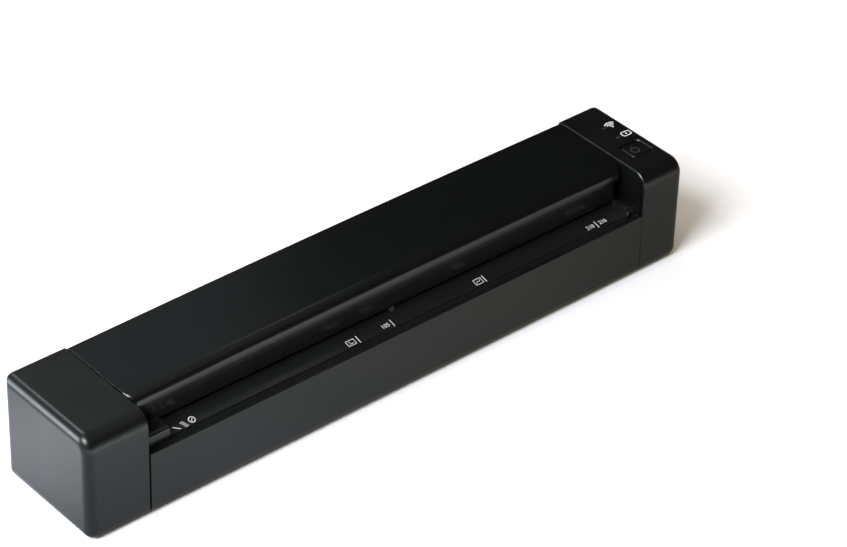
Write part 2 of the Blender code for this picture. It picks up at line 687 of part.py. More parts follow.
def lower_housing():
    """The tray between the caps: front panel, floor and back wall, with posts, bosses and foot recesses."""
    tray = prism(
        "lower_housing",
        outline(
            [
                (-HALF_DEPTH, FRONT_PANEL_HEIGHT, EDGE_RADIUS),
                (-HALF_DEPTH, FOOT_STAND, UNDERSIDE_RADIUS),
                (HALF_DEPTH, FOOT_STAND, UNDERSIDE_RADIUS),
                (HALF_DEPTH, BACK_PANEL_HEIGHT, EDGE_RADIUS),
                (INNER_HALF_DEPTH, BACK_PANEL_HEIGHT, 0),
                (INNER_HALF_DEPTH, FLOOR, LEAST_RADIUS),
                (-INNER_HALF_DEPTH, FLOOR, LEAST_RADIUS),
                (-INNER_HALF_DEPTH, FRONT_PANEL_HEIGHT, 0),
            ]
        ),
        MIDDLE_LEFT,
        MIDDLE_RIGHT,
        satin_black(),
    )
    for index, (x, y) in enumerate(board_post_places()):
        profile = [(FLOOR - SUNK, BOARD_POST_RADIUS), (MAIN_BOARD_HEIGHT - GAP, BOARD_POST_RADIUS)]
        join(tray, upright(f"board_post_{index}", x, y, profile, None))
    for name, x, y in screw_places():
        profile = [(FLOOR - SUNK, BOSS_RADIUS), (HOUSING_BOSS_TOP, BOSS_RADIUS)]
        join(tray, upright("housing_boss_" + name, x, y, profile, None))
        seat = FOOT_STAND + SCREW_HEAD_HEIGHT + 2 * GAP
        profile = [(FOOT_STAND - OVERRUN, SCREW_HEAD_RADIUS + GAP), (seat, SCREW_HEAD_RADIUS + GAP)]
        profile += [(seat, SCREW_RADIUS + GAP), (HOUSING_BOSS_TOP + OVERRUN, SCREW_RADIUS + GAP)]
        cut(tray, upright("screw_bore_" + name, x, y, profile, None))
    for name, x, y in foot_places():
        radius = FOOT_RADIUS + GAP
        profile = [(FOOT_STAND - OVERRUN, radius), (FOOT_THICKNESS + GAP, radius)]
        cut(tray, upright("foot_recess_" + name, x, y, profile, None, ROUND_SIDES))


def feet():
    for name, x, y in foot_places():
        profile = [(0, FOOT_RADIUS - GAP), (GAP, FOOT_RADIUS), (FOOT_THICKNESS, FOOT_RADIUS)]
        upright(name + "_foot", x, y, profile, foot_rubber(), ROUND_SIDES)


def screws():
    for name, x, y in screw_places():
        low = FOOT_STAND + GAP
        neck = low + SCREW_HEAD_HEIGHT
        profile = [(low, SCREW_HEAD_RADIUS), (neck, SCREW_HEAD_RADIUS), (neck, SCREW_RADIUS)]
        profile += [(low + SCREW_LENGTH - SCREW_RADIUS, SCREW_RADIUS), (low + SCREW_LENGTH, SCREW_RADIUS / 2)]
        screw = upright(name + "_screw", x, y, profile, steel())
        cross = ((SCREW_CROSS, SCREW_SLOT / 2), (SCREW_SLOT / 2, SCREW_CROSS))
        for index, (half_x, half_y) in enumerate(cross):
            bottom = (x - half_x, y - half_y, low - OVERRUN)
            top = (x + half_x, y + half_y, low + SCREW_SLOT)
            cut(screw, block(f"drive_{name}_{index}", bottom, top, None))


def ledge_outline():
    """The lower paper guide's section: front flange, step, ledge rising to its crest, and the flat path."""
    return outline(
        [
            (GUIDE_FRONT, LEDGE_FLANGE, 0),
            (GUIDE_FRONT, LEDGE_FLANGE - GUIDE_THICKNESS, 0),
            (LEDGE_FRONT, LEDGE_FLANGE - GUIDE_THICKNESS, 0),
            (LEDGE_RUN_IN, GUIDE_FLOOR, 0),
            (GUIDE_BACK, GUIDE_FLOOR, 0),
            (GUIDE_BACK, PATH_HEIGHT, EDGE_RADIUS),
            (LEDGE_RUN_IN, PATH_HEIGHT, LEDGE_CREST_RADIUS),
            (LEDGE_CREST, LEDGE_CREST_HEIGHT, LEDGE_CREST_RADIUS),
            (LEDGE_FRONT, LEDGE_FRONT_HEIGHT, LEAST_RADIUS),
            (LEDGE_FRONT, LEDGE_FLANGE, 0),
        ]
    )


def side_outline(setback, rise, radius):
    """The section of a side block or fin that stands on the ledge, in front of the lip."""
    front = -HALF_DEPTH + setback
    back = LIP_FACE - GAP
    foot = LEDGE_FLANGE - SUNK
    top = PATH_HEIGHT + rise
    return outline([(front, top, radius), (front, foot, 0), (back, foot, 0), (back, top, LEAST_RADIUS)])


def roller_windows(name, y, proud, length, low, high):
    """Cutters for the two windows that a roller's sleeves come through."""
    for index, x in enumerate((PATH_MIDDLE - SLEEVE_SPREAD, PATH_MIDDLE + SLEEVE_SPREAD)):
        half = length / 2 + 2 * GAP
        side = proud + 2 * GAP
        yield block(f"{name}_{index}", (x - half, y - side, low), (x + half, y + side, high), None)


def chord(radius, distance):
    """Half the width of a circle of this radius at this distance from its centre."""
    return math.sqrt(radius**2 - distance**2)


def lower_paper_guide():
    """The ledge and the floor of the paper path, with side block, fin, windows, straps, lugs and bosses."""
    guide = prism("lower_paper_guide", ledge_outline(), MIDDLE_LEFT, MIDDLE_RIGHT, gloss_black())
    block_section = side_outline(SIDE_BLOCK_SETBACK, SIDE_BLOCK_RISE, SIDE_BLOCK_RADIUS)
    fin_section = side_outline(FIN_SETBACK, FIN_RISE, FIN_RADIUS)
    join(guide, prism("side_block", block_section, MIDDLE_LEFT, PAPER_LEFT, None))
    join(guide, prism("side_fin", fin_section, PAPER_RIGHT, PAPER_RIGHT + FIN_THICKNESS, None))
    for y, label in ((FEED_Y, "feed_window"), (EXIT_Y, "exit_window")):
        half = chord(SLEEVE_RADIUS, GUIDE_FLOOR - ROLLER_Z)
        span = (GUIDE_FLOOR - OVERRUN, PATH_HEIGHT + OVERRUN)
        cut(guide, *roller_windows(label, y, half, SLEEVE_LENGTH, *span))
    side = SENSOR_DEPTH / 2 + GAP
    low = (SENSOR_LEFT - GAP, SENSOR_Y - side, GUIDE_FLOOR - OVERRUN)
    high = (SENSOR_RIGHT + GAP, SENSOR_Y + side, PATH_HEIGHT + OVERRUN)
    cut(guide, block("sensor_window", low, high, None))
    for label, x in strap_places():
        join(guide, strap(label, x))
    for name, x, y in screw_places():
        roof = LEDGE_FLANGE - SUNK if y < 0 else GUIDE_FLOOR + SUNK
        profile = [(HOUSING_BOSS_TOP + GAP, BOSS_RADIUS), (roof, BOSS_RADIUS)]
        join(guide, upright("guide_boss_" + name, x, y, profile, None))
        radius = SCREW_RADIUS + GAP
        profile = [(HOUSING_BOSS_TOP - OVERRUN, radius), (SCREW_LENGTH + OVERRUN, radius)]
        cut(guide, upright("guide_bore_" + name, x, y, profile, None))
    for index, side in enumerate((-1, 1)):
        near = FLAG_X + side * (FLAG_THICKNESS / 2 + GAP)
        far = near + side * FLAG_LUG_THICKNESS
        low = (min(near, far), FLAG_Y - FLAG_LUG_HALF_DEPTH, FLAG_Z - FLAG_LUG_HALF_DEPTH)
        high = (max(near, far), FLAG_Y + FLAG_LUG_HALF_DEPTH, GUIDE_FLOOR + SUNK)
        join(guide, block(f"flag_lug_{index}", low, high, None))
    reach = FLAG_PIN_HALF_LENGTH + OVERRUN
    ends = (FLAG_X - reach, FLAG_X + reach)
    cut(guide, hole_along_x("flag_pin_hole", FLAG_Y, FLAG_Z, FLAG_PIN_RADIUS + GAP, *ends))
    half = FLAG_THICKNESS / 2 + GAP
    low = (FLAG_X - half, FLAG_Y - GAP, GUIDE_FLOOR - OVERRUN)
    high = (FLAG_X + half, FLAG_Y + FLAG_SWEEP, LEDGE_CREST_HEIGHT + OVERRUN)
    cut(guide, block("flag_slot", low, high, None))


def strap_places():
    return (("left_strap", SENSOR_LEFT + STRAP_INSET), ("right_strap", SENSOR_RIGHT - STRAP_INSET))


def strap(name, x):
    """A U under the sensor that its spring stands on."""
    inner = SENSOR_DEPTH / 2 + 2 * GAP
    outer = inner + STRAP_THICKNESS
    top = GUIDE_FLOOR + SUNK
    bar = SENSOR_BOTTOM - STRAP_DROP
    corners = [
        (SENSOR_Y - outer, top),
        (SENSOR_Y - outer, bar - STRAP_THICKNESS),
        (SENSOR_Y + outer, bar - STRAP_THICKNESS),
        (SENSOR_Y + outer, top),
        (SENSOR_Y + inner, top),
        (SENSOR_Y + inner, bar),
        (SENSOR_Y - inner, bar),
        (SENSOR_Y - inner, top),
    ]
    points = outline([(y, z, 0) for y, z in corners])
    return prism(name, points, x - STRAP_WIDTH / 2, x + STRAP_WIDTH / 2, None)


def sensor_springs():
    """Two arched leaf springs that press the sensor up against the paper path."""
    bar = SENSOR_BOTTOM - STRAP_DROP + GAP
    rise = STRAP_DROP - 2 * GAP - SPRING_THICKNESS
    for label, x in strap_places():
        upper, lower = [], []
        for step in range(SPRING_STEPS + 1):
            share = step / SPRING_STEPS
            along = x + (share - 0.5) * SENSOR_SPRING_LENGTH
            height = bar + rise * math.sin(share * math.pi)
            lower.append((along, height))
            upper.append((along, height + SPRING_THICKNESS))
        mesh = bmesh.new()
        loop = lower + upper[::-1]
        sides = []
        for y in (SENSOR_Y - SENSOR_SPRING_WIDTH / 2, SENSOR_Y + SENSOR_SPRING_WIDTH / 2):
            sides.append([mesh.verts.new((along, y, height)) for along, height in loop])
        for index in range(len(loop)):
            mesh.faces.new((sides[0][index - 1], sides[0][index], sides[1][index], sides[1][index - 1]))
        for ring in sides:
            mesh.faces.new(ring)
        bmesh.ops.recalc_face_normals(mesh, faces=mesh.faces)
        add(label.replace("strap", "sensor_spring"), mesh, spring_steel())


def image_sensor():
    """The sensor's housing, with the glass let into its top and the circuit board into its underside."""
    side = SENSOR_DEPTH / 2
    housing = block(
        "sensor_housing",
        (SENSOR_LEFT, SENSOR_Y - side, SENSOR_BOTTOM),
        (SENSOR_RIGHT, SENSOR_Y + side, SENSOR_TOP),
        chassis_grey(),
    )
    seat = side - SENSOR_WALL
    left = SENSOR_LEFT + SENSOR_WALL
    right = SENSOR_RIGHT - SENSOR_WALL
    glass_floor = SENSOR_TOP - GLASS_THICKNESS - GAP
    board_ceiling = SENSOR_BOTTOM + SENSOR_BOARD_THICKNESS + GAP
    low = (left, SENSOR_Y - seat, glass_floor)
    cut(housing, block("glass_seat", low, (right, SENSOR_Y + seat, SENSOR_TOP + OVERRUN), None))
    low = (left, SENSOR_Y - seat, SENSOR_BOTTOM - OVERRUN)
    cut(housing, block("board_seat", low, (right, SENSOR_Y + seat, board_ceiling), None))
    slot = SENSOR_SLOT / 2
    low = (left + SENSOR_WALL, SENSOR_Y - slot, SENSOR_BOTTOM)
    cut(housing, block("light_slot", low, (right - SENSOR_WALL, SENSOR_Y + slot, SENSOR_TOP), None))
    seat -= GAP
    low = (left + GAP, SENSOR_Y - seat, glass_floor + GAP)
    block("sensor_glass", low, (right - GAP, SENSOR_Y + seat, SENSOR_TOP), sensor_glass())
    low = (left + GAP, SENSOR_Y - seat, SENSOR_BOTTOM)
    block("sensor_board", low, (right - GAP, SENSOR_Y + seat, board_ceiling - GAP), board_green())


def driven_roller(label, y):
    """A shaft with two rubber sleeves, turning in two bushings, with its gear at the left end."""
    left_end = GEAR_OUT - GAP
    right_end = RIGHT_PLATE_OUT + BUSHING_OUT + GAP
    left_step = MIDDLE_LEFT + GAP
    right_step = MIDDLE_RIGHT - GAP
    origin = (PATH_MIDDLE, y, ROLLER_Z)
    profile = [(left_end, JOURNAL_RADIUS), (left_step, JOURNAL_RADIUS), (left_step, SHAFT_RADIUS)]
    profile += [(right_step, SHAFT_RADIUS), (right_step, JOURNAL_RADIUS), (right_end, JOURNAL_RADIUS)]
    pieces = [turned(label + "_roller_shaft", y, ROLLER_Z, profile, steel(), origin=origin)]
    for side, x in (("left", PATH_MIDDLE - SLEEVE_SPREAD), ("right", PATH_MIDDLE + SLEEVE_SPREAD)):
        half = SLEEVE_LENGTH / 2
        profile = [(x - half, SLEEVE_RADIUS), (x + half, SLEEVE_RADIUS)]
        name = f"{label}_sleeve_{side}"
        pieces.append(sleeve(name, y, ROLLER_Z, SHAFT_RADIUS + GAP, profile, roller_rubber(), origin=origin))
    for side, face, outward in (("left", LEFT_PLATE_OUT, -1), ("right", RIGHT_PLATE_OUT, 1)):
        inner = face - outward * PLATE_THICKNESS
        shoulder = face + outward * GAP
        outer = shoulder + outward * BUSHING_FLANGE
        profile = [(inner, BUSHING_RADIUS), (shoulder, BUSHING_RADIUS)]
        profile += [(shoulder, BUSHING_FLANGE_RADIUS), (outer, BUSHING_FLANGE_RADIUS)]
        sleeve(f"{label}_bushing_{side}", y, ROLLER_Z, JOURNAL_RADIUS + GAP, profile, bushing_bronze())
    return pieces


def gear_outline(y, z, teeth, phase):
    """A spur gear's section: straight-flanked teeth with running clearance, one of them centred at phase."""
    pitch_radius = 0.5 * GEAR_MODULE * teeth
    pitch = math.tau / teeth
    root = pitch_radius - DEDENDUM_SHARE * GEAR_MODULE
    tip = pitch_radius + ADDENDUM_SHARE * GEAR_MODULE
    flank = ((root, TOOTH_ROOT_SHARE), (pitch_radius, TOOTH_PITCH_SHARE), (tip, TOOTH_TIP_SHARE))
    points = []
    for tooth in range(teeth):
        middle = phase + tooth * pitch
        rise = [(radius, middle - share * pitch / 2) for radius, share in flank]
        fall = [(radius, middle + share * pitch / 2) for radius, share in reversed(flank)]
        for radius, angle in rise + fall:
            points.append(Vector((y + radius * math.cos(angle), z + radius * math.sin(angle))))
    return points


def meshing_phase(phase, teeth, direction, other_teeth):
    """The phase of the gear that lies in this direction, so that its gap faces the first gear's tooth."""
    pitch = math.tau / teeth
    other_pitch = math.tau / other_teeth
    offset = (phase - direction) / pitch
    return direction + math.pi - offset * other_pitch + other_pitch / 2


def gear(name, y, z, teeth, phase, x0, x1, bore):
    """A spur gear with a bore right through."""
    origin = (0.5 * (x0 + x1), y, z)
    made = prism(name, gear_outline(y, z, teeth, phase), x0, x1, gear_plastic(), origin)
    low = min(x0, x1) - OVERRUN
    high = max(x0, x1) + OVERRUN
    cut(made, hole_along_x(name + "_bore", y, z, bore, low, high))
    return made


def direction_to(y0, z0, y1, z1):
    return math.atan2(z1 - z0, y1 - y0)


def gear_train():
    """The gears of the motor, the two rollers and the two posts, each meshing with the next."""
    feed_phase = 0.0
    toward_transfer = direction_to(FEED_Y, ROLLER_Z, TRANSFER_Y, TRANSFER_Z)
    transfer_phase = meshing_phase(feed_phase, ROLLER_TEETH, toward_transfer, TRANSFER_TEETH)
    toward_exit = direction_to(TRANSFER_Y, TRANSFER_Z, EXIT_Y, ROLLER_Z)
    exit_phase = meshing_phase(transfer_phase, TRANSFER_TEETH, toward_exit, ROLLER_TEETH)
    toward_reduction = direction_to(FEED_Y, ROLLER_Z, REDUCTION_Y, REDUCTION_Z)
    small_phase = meshing_phase(feed_phase, ROLLER_TEETH, toward_reduction, REDUCTION_SMALL_TEETH)
    toward_motor = direction_to(REDUCTION_Y, REDUCTION_Z, MOTOR_Y, MOTOR_Z)
    pinion_phase = meshing_phase(small_phase, REDUCTION_LARGE_TEETH, toward_motor, PINION_TEETH)
    bore = JOURNAL_RADIUS + GAP
    feed = gear("feed_gear", FEED_Y, ROLLER_Z, ROLLER_TEETH, feed_phase, GEAR_OUT, GEAR_IN, bore)
    away = gear("exit_gear", EXIT_Y, ROLLER_Z, ROLLER_TEETH, exit_phase, GEAR_OUT, GEAR_IN, bore)
    bore = GEAR_POST_RADIUS + GAP
    gear("transfer_gear", TRANSFER_Y, TRANSFER_Z, TRANSFER_TEETH, transfer_phase, GEAR_OUT, GEAR_IN, bore)
    reduction_gear(small_phase, bore)
    motor_pinion(pinion_phase)
    return feed, away


def reduction_gear(phase, bore):
    """A large gear and a small one in one piece, on their post."""
    place = (REDUCTION_Y, REDUCTION_Z, REDUCTION_LARGE_TEETH)
    large = gear("reduction_gear", *place, phase, LARGE_GEAR_OUT, LARGE_GEAR_IN, bore)
    section = gear_outline(REDUCTION_Y, REDUCTION_Z, REDUCTION_SMALL_TEETH, phase)
    join(large, prism("small_gear", section, LARGE_GEAR_IN - SUNK, GEAR_IN, None))
    ends = (LARGE_GEAR_OUT - OVERRUN, GEAR_IN + OVERRUN)
    cut(large, hole_along_x("reduction_bore", REDUCTION_Y, REDUCTION_Z, bore, *ends))


def motor_pinion(phase):
    """The motor's shaft with the pinion on its end."""
    origin = (LARGE_GEAR_OUT, MOTOR_Y, MOTOR_Z)
    section = gear_outline(MOTOR_Y, MOTOR_Z, PINION_TEETH, phase)
    pinion = prism("motor_pinion", section, LARGE_GEAR_OUT, LARGE_GEAR_IN, gear_plastic(), origin)
    inner_end = MIDDLE_LEFT + MOTOR_SHAFT_DEPTH
    profile = [(LARGE_GEAR_OUT + SUNK, MOTOR_SHAFT_RADIUS), (inner_end, MOTOR_SHAFT_RADIUS)]
    join(pinion, turned("pinion_shaft", MOTOR_Y, MOTOR_Z, profile, None, SMALL_ROUND_SIDES))


def motor_case():
    """The can on the plate's inner face, with the bore that the shaft comes out of."""
    face = MIDDLE_LEFT
    back = face + MOTOR_LENGTH
    profile = [(face, MOTOR_RADIUS), (back - GAP, MOTOR_RADIUS), (back, MOTOR_RADIUS - GAP)]
    case = turned("motor_case", MOTOR_Y, MOTOR_Z, profile, steel())
    bore = MOTOR_SHAFT_RADIUS + GAP
    depth = face + MOTOR_SHAFT_DEPTH + GAP
    cut(case, hole_along_x("case_bore", MOTOR_Y, MOTOR_Z, bore, face - OVERRUN, depth))


def corner_setback(radius, inward):
    """How far a corner, round seen from above, lies behind its front at a distance inward from its end."""
    return radius - math.sqrt(radius**2 - max(radius - inward, 0) ** 2)


def corner_stations(radius, first=0.0):
    """Distances inward from a round corner's end, at even steps of its arc, from the distance first on."""
    start = math.acos(1 - first / radius)
    steps = math.ceil((math.pi / 2 - start) / ARC_STEP)
    angles = [start + (math.pi / 2 - start) * step / steps for step in range(steps + 1)]
    return [radius * (1 - math.cos(angle)) for angle in angles]


def both_ends(stations, left, right, section):
    """Sections of a piece that runs from left to right and is alike at both ends."""
    found = [(left + inward, section(inward)) for inward in stations]
    return found + [(right - inward, section(inward)) for inward in reversed(stations)]


def cover_rise_share(inward):
    """How much of its crown the cover has at a distance inward from its end."""
    half = 0.5 * (MIDDLE_RIGHT - MIDDLE_LEFT)
    return 1 - (1 - inward / half) ** 2


def crown_stations(first):
    """Distances inward from the cover's end, evenly from the distance first to just short of the middle."""
    room = 0.5 * (MIDDLE_RIGHT - MIDDLE_LEFT) - first
    return [first + room * step / (CROWN_STEPS + 0.5) for step in range(1, CROWN_STEPS + 1)]


def cover_section(inward):
    """The filled section of the cover: lip, falling top, back wall, and lower edge of an end wall."""
    setback = corner_setback(LIP_CORNER_RADIUS, inward)
    top = COVER_TOP + COVER_CROWN * cover_rise_share(inward) - max(RIM_CHAMFER - inward, 0)
    lip_bottom = LIP_BOTTOM + LIP_CROWN * cover_rise_share(inward)
    lip = LIP_FACE + setback
    wall_front = LIP_FACE + LIP_CORNER_RADIUS + GAP
    inner_back = COVER_BACK - COVER_WALL
    return outline(
        [
            (lip, top - COVER_FALL, LIP_RADIUS),
            (lip, lip_bottom, 0),
            (wall_front, lip_bottom, 0),
            (wall_front, END_WALL_BOTTOM, 0),
            (inner_back, END_WALL_BOTTOM, 0),
            (inner_back, COVER_BACK_BOTTOM, 0),
            (COVER_BACK, COVER_BACK_BOTTOM, LEAST_RADIUS),
            (COVER_BACK, top, CAP_BACK_TOP_RADIUS),
            (COVER_CREASE + setback, top, COVER_FALL_RADIUS),
        ]
    )


def cover_hollow(inward):
    """The section of the room inside the cover, open below."""
    front = LIP_FACE + LIP_THICKNESS + corner_setback(LIP_CORNER_RADIUS - LIP_THICKNESS, inward)
    low = COVER_BACK_BOTTOM - OVERRUN
    back = COVER_BACK - COVER_WALL
    corner = max(LIP_RADIUS - LIP_THICKNESS, LEAST_RADIUS)
    return outline([(front, COVER_CEILING, corner), (front, low, 0), (back, low, 0), (back, COVER_CEILING, 0)])


def top_cover():
    """The crowned shell between the caps. Its lip's corners are round, seen from above."""
    stations = sorted({0, RIM_CHAMFER, *corner_stations(LIP_CORNER_RADIUS), *crown_stations(LIP_CORNER_RADIUS)})
    sections = both_ends(stations, MIDDLE_LEFT, MIDDLE_RIGHT, cover_section)
    cover = add("top_cover", loft(sections), satin_black(), (PATH_MIDDLE, HINGE_Y, HINGE_Z))
    stations = corner_stations(LIP_CORNER_RADIUS - LIP_THICKNESS, COVER_END_WALL - LIP_THICKNESS)
    left, right = MIDDLE_LEFT + LIP_THICKNESS, MIDDLE_RIGHT - LIP_THICKNESS
    cut(cover, add("cover_hollow", loft(both_ends(stations, left, right, cover_hollow)), None))
    for label, end, inward in (("left", MIDDLE_LEFT, 1), ("right", MIDDLE_RIGHT, -1)):
        far = end + inward * COVER_END_WALL
        ends = (min(end, far) - OVERRUN, max(end, far) + OVERRUN)
        cut(cover, hole_along_x(f"hinge_hole_{label}", HINGE_Y, HINGE_Z, HINGE_PIN_RADIUS + GAP, *ends))
    return cover


def hinge_pins():
    """Two headed pins through the chassis plates into the cover's end walls."""
    for label, face, outward in (("left", LEFT_PLATE_OUT, -1), ("right", RIGHT_PLATE_OUT, 1)):
        shoulder = face + outward * GAP
        head = shoulder + outward * BUSHING_FLANGE
        tip = face - outward * (PLATE_THICKNESS + HINGE_PIN_REACH)
        wide = 2 * HINGE_PIN_RADIUS
        profile = [(tip, HINGE_PIN_RADIUS - GAP), (tip + outward * GAP, HINGE_PIN_RADIUS)]
        profile += [(shoulder, HINGE_PIN_RADIUS), (shoulder, wide), (head, wide)]
        turned(label + "_hinge_pin", HINGE_Y, HINGE_Z, profile, steel(), SMALL_ROUND_SIDES)


def upper_guide_section(inward):
    """The section of the wall behind the lip and the ceiling of the paper path."""
    front = UPPER_GUIDE_FACE + corner_setback(UPPER_GUIDE_CORNER_RADIUS, inward)
    back = COVER_BACK - COVER_WALL - OVERRUN
    return outline(
        [
            (front, UPPER_WALL_TOP, 0),
            (front, PATH_CEILING, EDGE_RADIUS),
            (back, PATH_CEILING, EDGE_RADIUS),
            (back, UPPER_GUIDE_TOP, 0),
            (front + UPPER_GUIDE_WALL, UPPER_GUIDE_TOP, 0),
            (front + UPPER_GUIDE_WALL, UPPER_WALL_TOP, 0),
        ]
    )


def upper_paper_guide():
    """The wall behind the lip and the ceiling of the paper path, with the lugs of both pinch axles."""
    edge = LIP_CORNER_RADIUS - UPPER_GUIDE_CORNER_RADIUS
    stations = corner_stations(UPPER_GUIDE_CORNER_RADIUS, COVER_END_WALL + GAP - edge)
    sections = both_ends(stations, MIDDLE_LEFT + edge, MIDDLE_RIGHT - edge, upper_guide_section)
    origin = (PATH_MIDDLE, HINGE_Y, HINGE_Z)
    guide = add("upper_paper_guide", loft(sections), gloss_black(), origin)
    for y, label in ((FEED_Y, "front"), (EXIT_Y, "rear")):
        span = (PATH_CEILING - OVERRUN, UPPER_GUIDE_TOP + OVERRUN)
        windows = roller_windows(label + "_pinch_window", y, PINCH_RADIUS, PINCH_LENGTH, *span)
        cut(guide, *windows)
        for side in (-1, 1):
            middle = PATH_MIDDLE + side * PINCH_LUG_SPREAD
            half = PINCH_LUG_THICKNESS / 2
            wall = PINCH_AXLE_RADIUS + GAP + PINCH_LUG_WALL
            low = (middle - half, y - wall, UPPER_GUIDE_TOP - SUNK)
            high = (middle + half, y + wall, PINCH_Z + wall)
            join(guide, block(f"{label}_lug_{side}", low, high, None))
            ends = (middle - half - OVERRUN, middle + half + OVERRUN)
            cut(guide, hole_along_x(f"{label}_lug_hole_{side}", y, PINCH_Z, PINCH_AXLE_RADIUS + GAP, *ends))
    for side in (-1, 1):
        middle = PATH_MIDDLE + side * PINCH_SPRING_SPREAD
        half = PINCH_SPRING_WIDTH / 2
        low = (middle - half, TRANSFER_Y - half, UPPER_GUIDE_TOP - SUNK)
        high = (middle + half, TRANSFER_Y + half, PINCH_SPRING_Z + PINCH_SPRING_RISE - GAP)
        join(guide, block(f"spring_boss_{side}", low, high, None))
    half = STRIP_DEPTH / 2 + GAP
    low = (SENSOR_LEFT - GAP, SENSOR_Y - half, PATH_CEILING - OVERRUN)
    high = (SENSOR_RIGHT + GAP, SENSOR_Y + half, PATH_CEILING + STRIP_RECESS)
    cut(guide, block("strip_recess", low, high, None))
    return guide


def background_strip():
    """The white strip that the sensor looks at when no paper is in."""
    half = STRIP_DEPTH / 2
    top = PATH_CEILING + STRIP_RECESS - GAP
    low = (SENSOR_LEFT, SENSOR_Y - half, top - STRIP_THICKNESS)
    return block("background_strip", low, (SENSOR_RIGHT, SENSOR_Y + half, top), white_plastic())


def pinch_roller(label, y):
    """An axle with two rollers, free to turn in its lugs."""
    origin = (PATH_MIDDLE, y, PINCH_Z)
    ends = (PATH_MIDDLE - PINCH_AXLE_HALF_LENGTH, PATH_MIDDLE + PINCH_AXLE_HALF_LENGTH)
    profile = [(end, PINCH_AXLE_RADIUS) for end in ends]
    pieces = [turned(label + "_pinch_axle", y, PINCH_Z, profile, steel(), SMALL_ROUND_SIDES, origin)]
    for side, x in (("left", PATH_MIDDLE - SLEEVE_SPREAD), ("right", PATH_MIDDLE + SLEEVE_SPREAD)):
        half = PINCH_LENGTH / 2
        edge = PINCH_RADIUS - EDGE_RADIUS
        profile = [(x - half, edge), (x - half + EDGE_RADIUS, PINCH_RADIUS)]
        profile += [(x + half - EDGE_RADIUS, PINCH_RADIUS), (x + half, edge)]
        name = f"{label}_pinch_roller_{side}"
        bore = PINCH_AXLE_RADIUS + GAP
        pieces.append(sleeve(name, y, PINCH_Z, bore, profile, chassis_grey(), origin=origin))
    return pieces


def pinch_springs():
    """Two leaf springs, each held at its middle and pressing on both pinch axles."""
    low = PINCH_SPRING_Z
    high = PINCH_SPRING_Z + PINCH_SPRING_RISE
    flat = PINCH_AXLE_RADIUS
    half = PINCH_SPRING_WIDTH / 2
    under = [
        (FEED_Y - flat, low),
        (FEED_Y + flat, low),
        (TRANSFER_Y - half, high),
        (TRANSFER_Y + half, high),
        (EXIT_Y - flat, low),
        (EXIT_Y + flat, low),
    ]
    corners = under + [(y, z + SPRING_THICKNESS) for y, z in reversed(under)]
    points = outline([(y, z, 0) for y, z in corners])
    pieces = []
    for label, side in (("left", -1), ("right", 1)):
        middle = PATH_MIDDLE + side * PINCH_SPRING_SPREAD
        pieces.append(prism(label + "_pinch_spring", points, middle - half, middle + half, spring_steel()))
    return pieces


def arm(y0, z0, y1, z1, width):
    """The outline of a straight arm from one place to another."""
    along = Vector((y1 - y0, z1 - z0)).normalized()
    across = Vector((-along.y, along.x)) * (width / 2)
    start, end = Vector((y0, z0)), Vector((y1, z1))
    corners = (start - across, end - across, end + across, start + across)
    return outline([(corner.x, corner.y, 0) for corner in corners])


def paper_flag():
    """The lever that the paper pushes over, on its pin."""
    half = FLAG_THICKNESS / 2
    ends = (FLAG_X - half, FLAG_X + half)
    tip = PATH_HEIGHT + FLAG_TIP_ABOVE_PATH
    origin = (FLAG_X, FLAG_Y, FLAG_Z)
    profile = [(end, FLAG_HUB_RADIUS) for end in ends]
    flag = turned("paper_flag", FLAG_Y, FLAG_Z, profile, chassis_grey(), origin=origin)
    upper = arm(FLAG_Y, FLAG_Z, FLAG_Y + FLAG_TIP_LEAN, tip, FLAG_ARM_WIDTH)
    lower = arm(FLAG_Y, FLAG_Z, FLAG_Y - FLAG_TAIL_LEAN, FLAG_Z - FLAG_TAIL_DROP, FLAG_ARM_WIDTH)
    join(flag, prism("flag_arm", upper, *ends, None))
    join(flag, prism("flag_tail", lower, *ends, None))
    reach = (FLAG_X - half - OVERRUN, FLAG_X + half + OVERRUN)
    cut(flag, hole_along_x("flag_bore", FLAG_Y, FLAG_Z, FLAG_PIN_RADIUS + GAP, *reach))
    ends = (FLAG_X - FLAG_PIN_HALF_LENGTH, FLAG_X + FLAG_PIN_HALF_LENGTH)
    profile = [(end, FLAG_PIN_RADIUS) for end in ends]
    turned("paper_flag_pin", FLAG_Y, FLAG_Z, profile, steel(), SMALL_ROUND_SIDES)


def main_board():
    """The board on its posts, with a row of chips."""
    side = MAIN_BOARD_HALF_DEPTH
    low = (MAIN_BOARD_LEFT, -side, MAIN_BOARD_HEIGHT)
    board = block("main_board", low, (MAIN_BOARD_RIGHT, side, BOARD_TOP), board_green())
    pitch = (RADIO_X - RADIO_LENGTH / 2 - MAIN_BOARD_LEFT) / CHIP_COUNT
    for index in range(CHIP_COUNT):
        x = MAIN_BOARD_LEFT + (index + 0.5) * pitch
        half = CHIP_SIDE / 2
        low = (x - half, -half, BOARD_TOP - SUNK)
        join(board, block(f"chip_{index}", low, (x + half, half, BOARD_TOP + CHIP_HEIGHT), None))


def radio_board():
    """The wireless module on the main board, under its shield."""
    low = (RADIO_X - RADIO_LENGTH / 2, -RADIO_DEPTH / 2, BOARD_TOP + GAP)
    high = (RADIO_X + RADIO_LENGTH / 2, RADIO_DEPTH / 2, BOARD_TOP + GAP + RADIO_HEIGHT)
    block("radio_board", low, high, socket_metal())


def battery_pack():
    low = FLOOR + GAP
    high = low + BATTERY_HEIGHT
    side = BATTERY_HALF_DEPTH
    corners = [(-side, high), (-side, low), (side, low), (side, high)]
    points = outline([(y, z, BATTERY_RADIUS) for y, z in corners])
    prism("battery_pack", points, BATTERY_LEFT, BATTERY_RIGHT, battery_wrap())


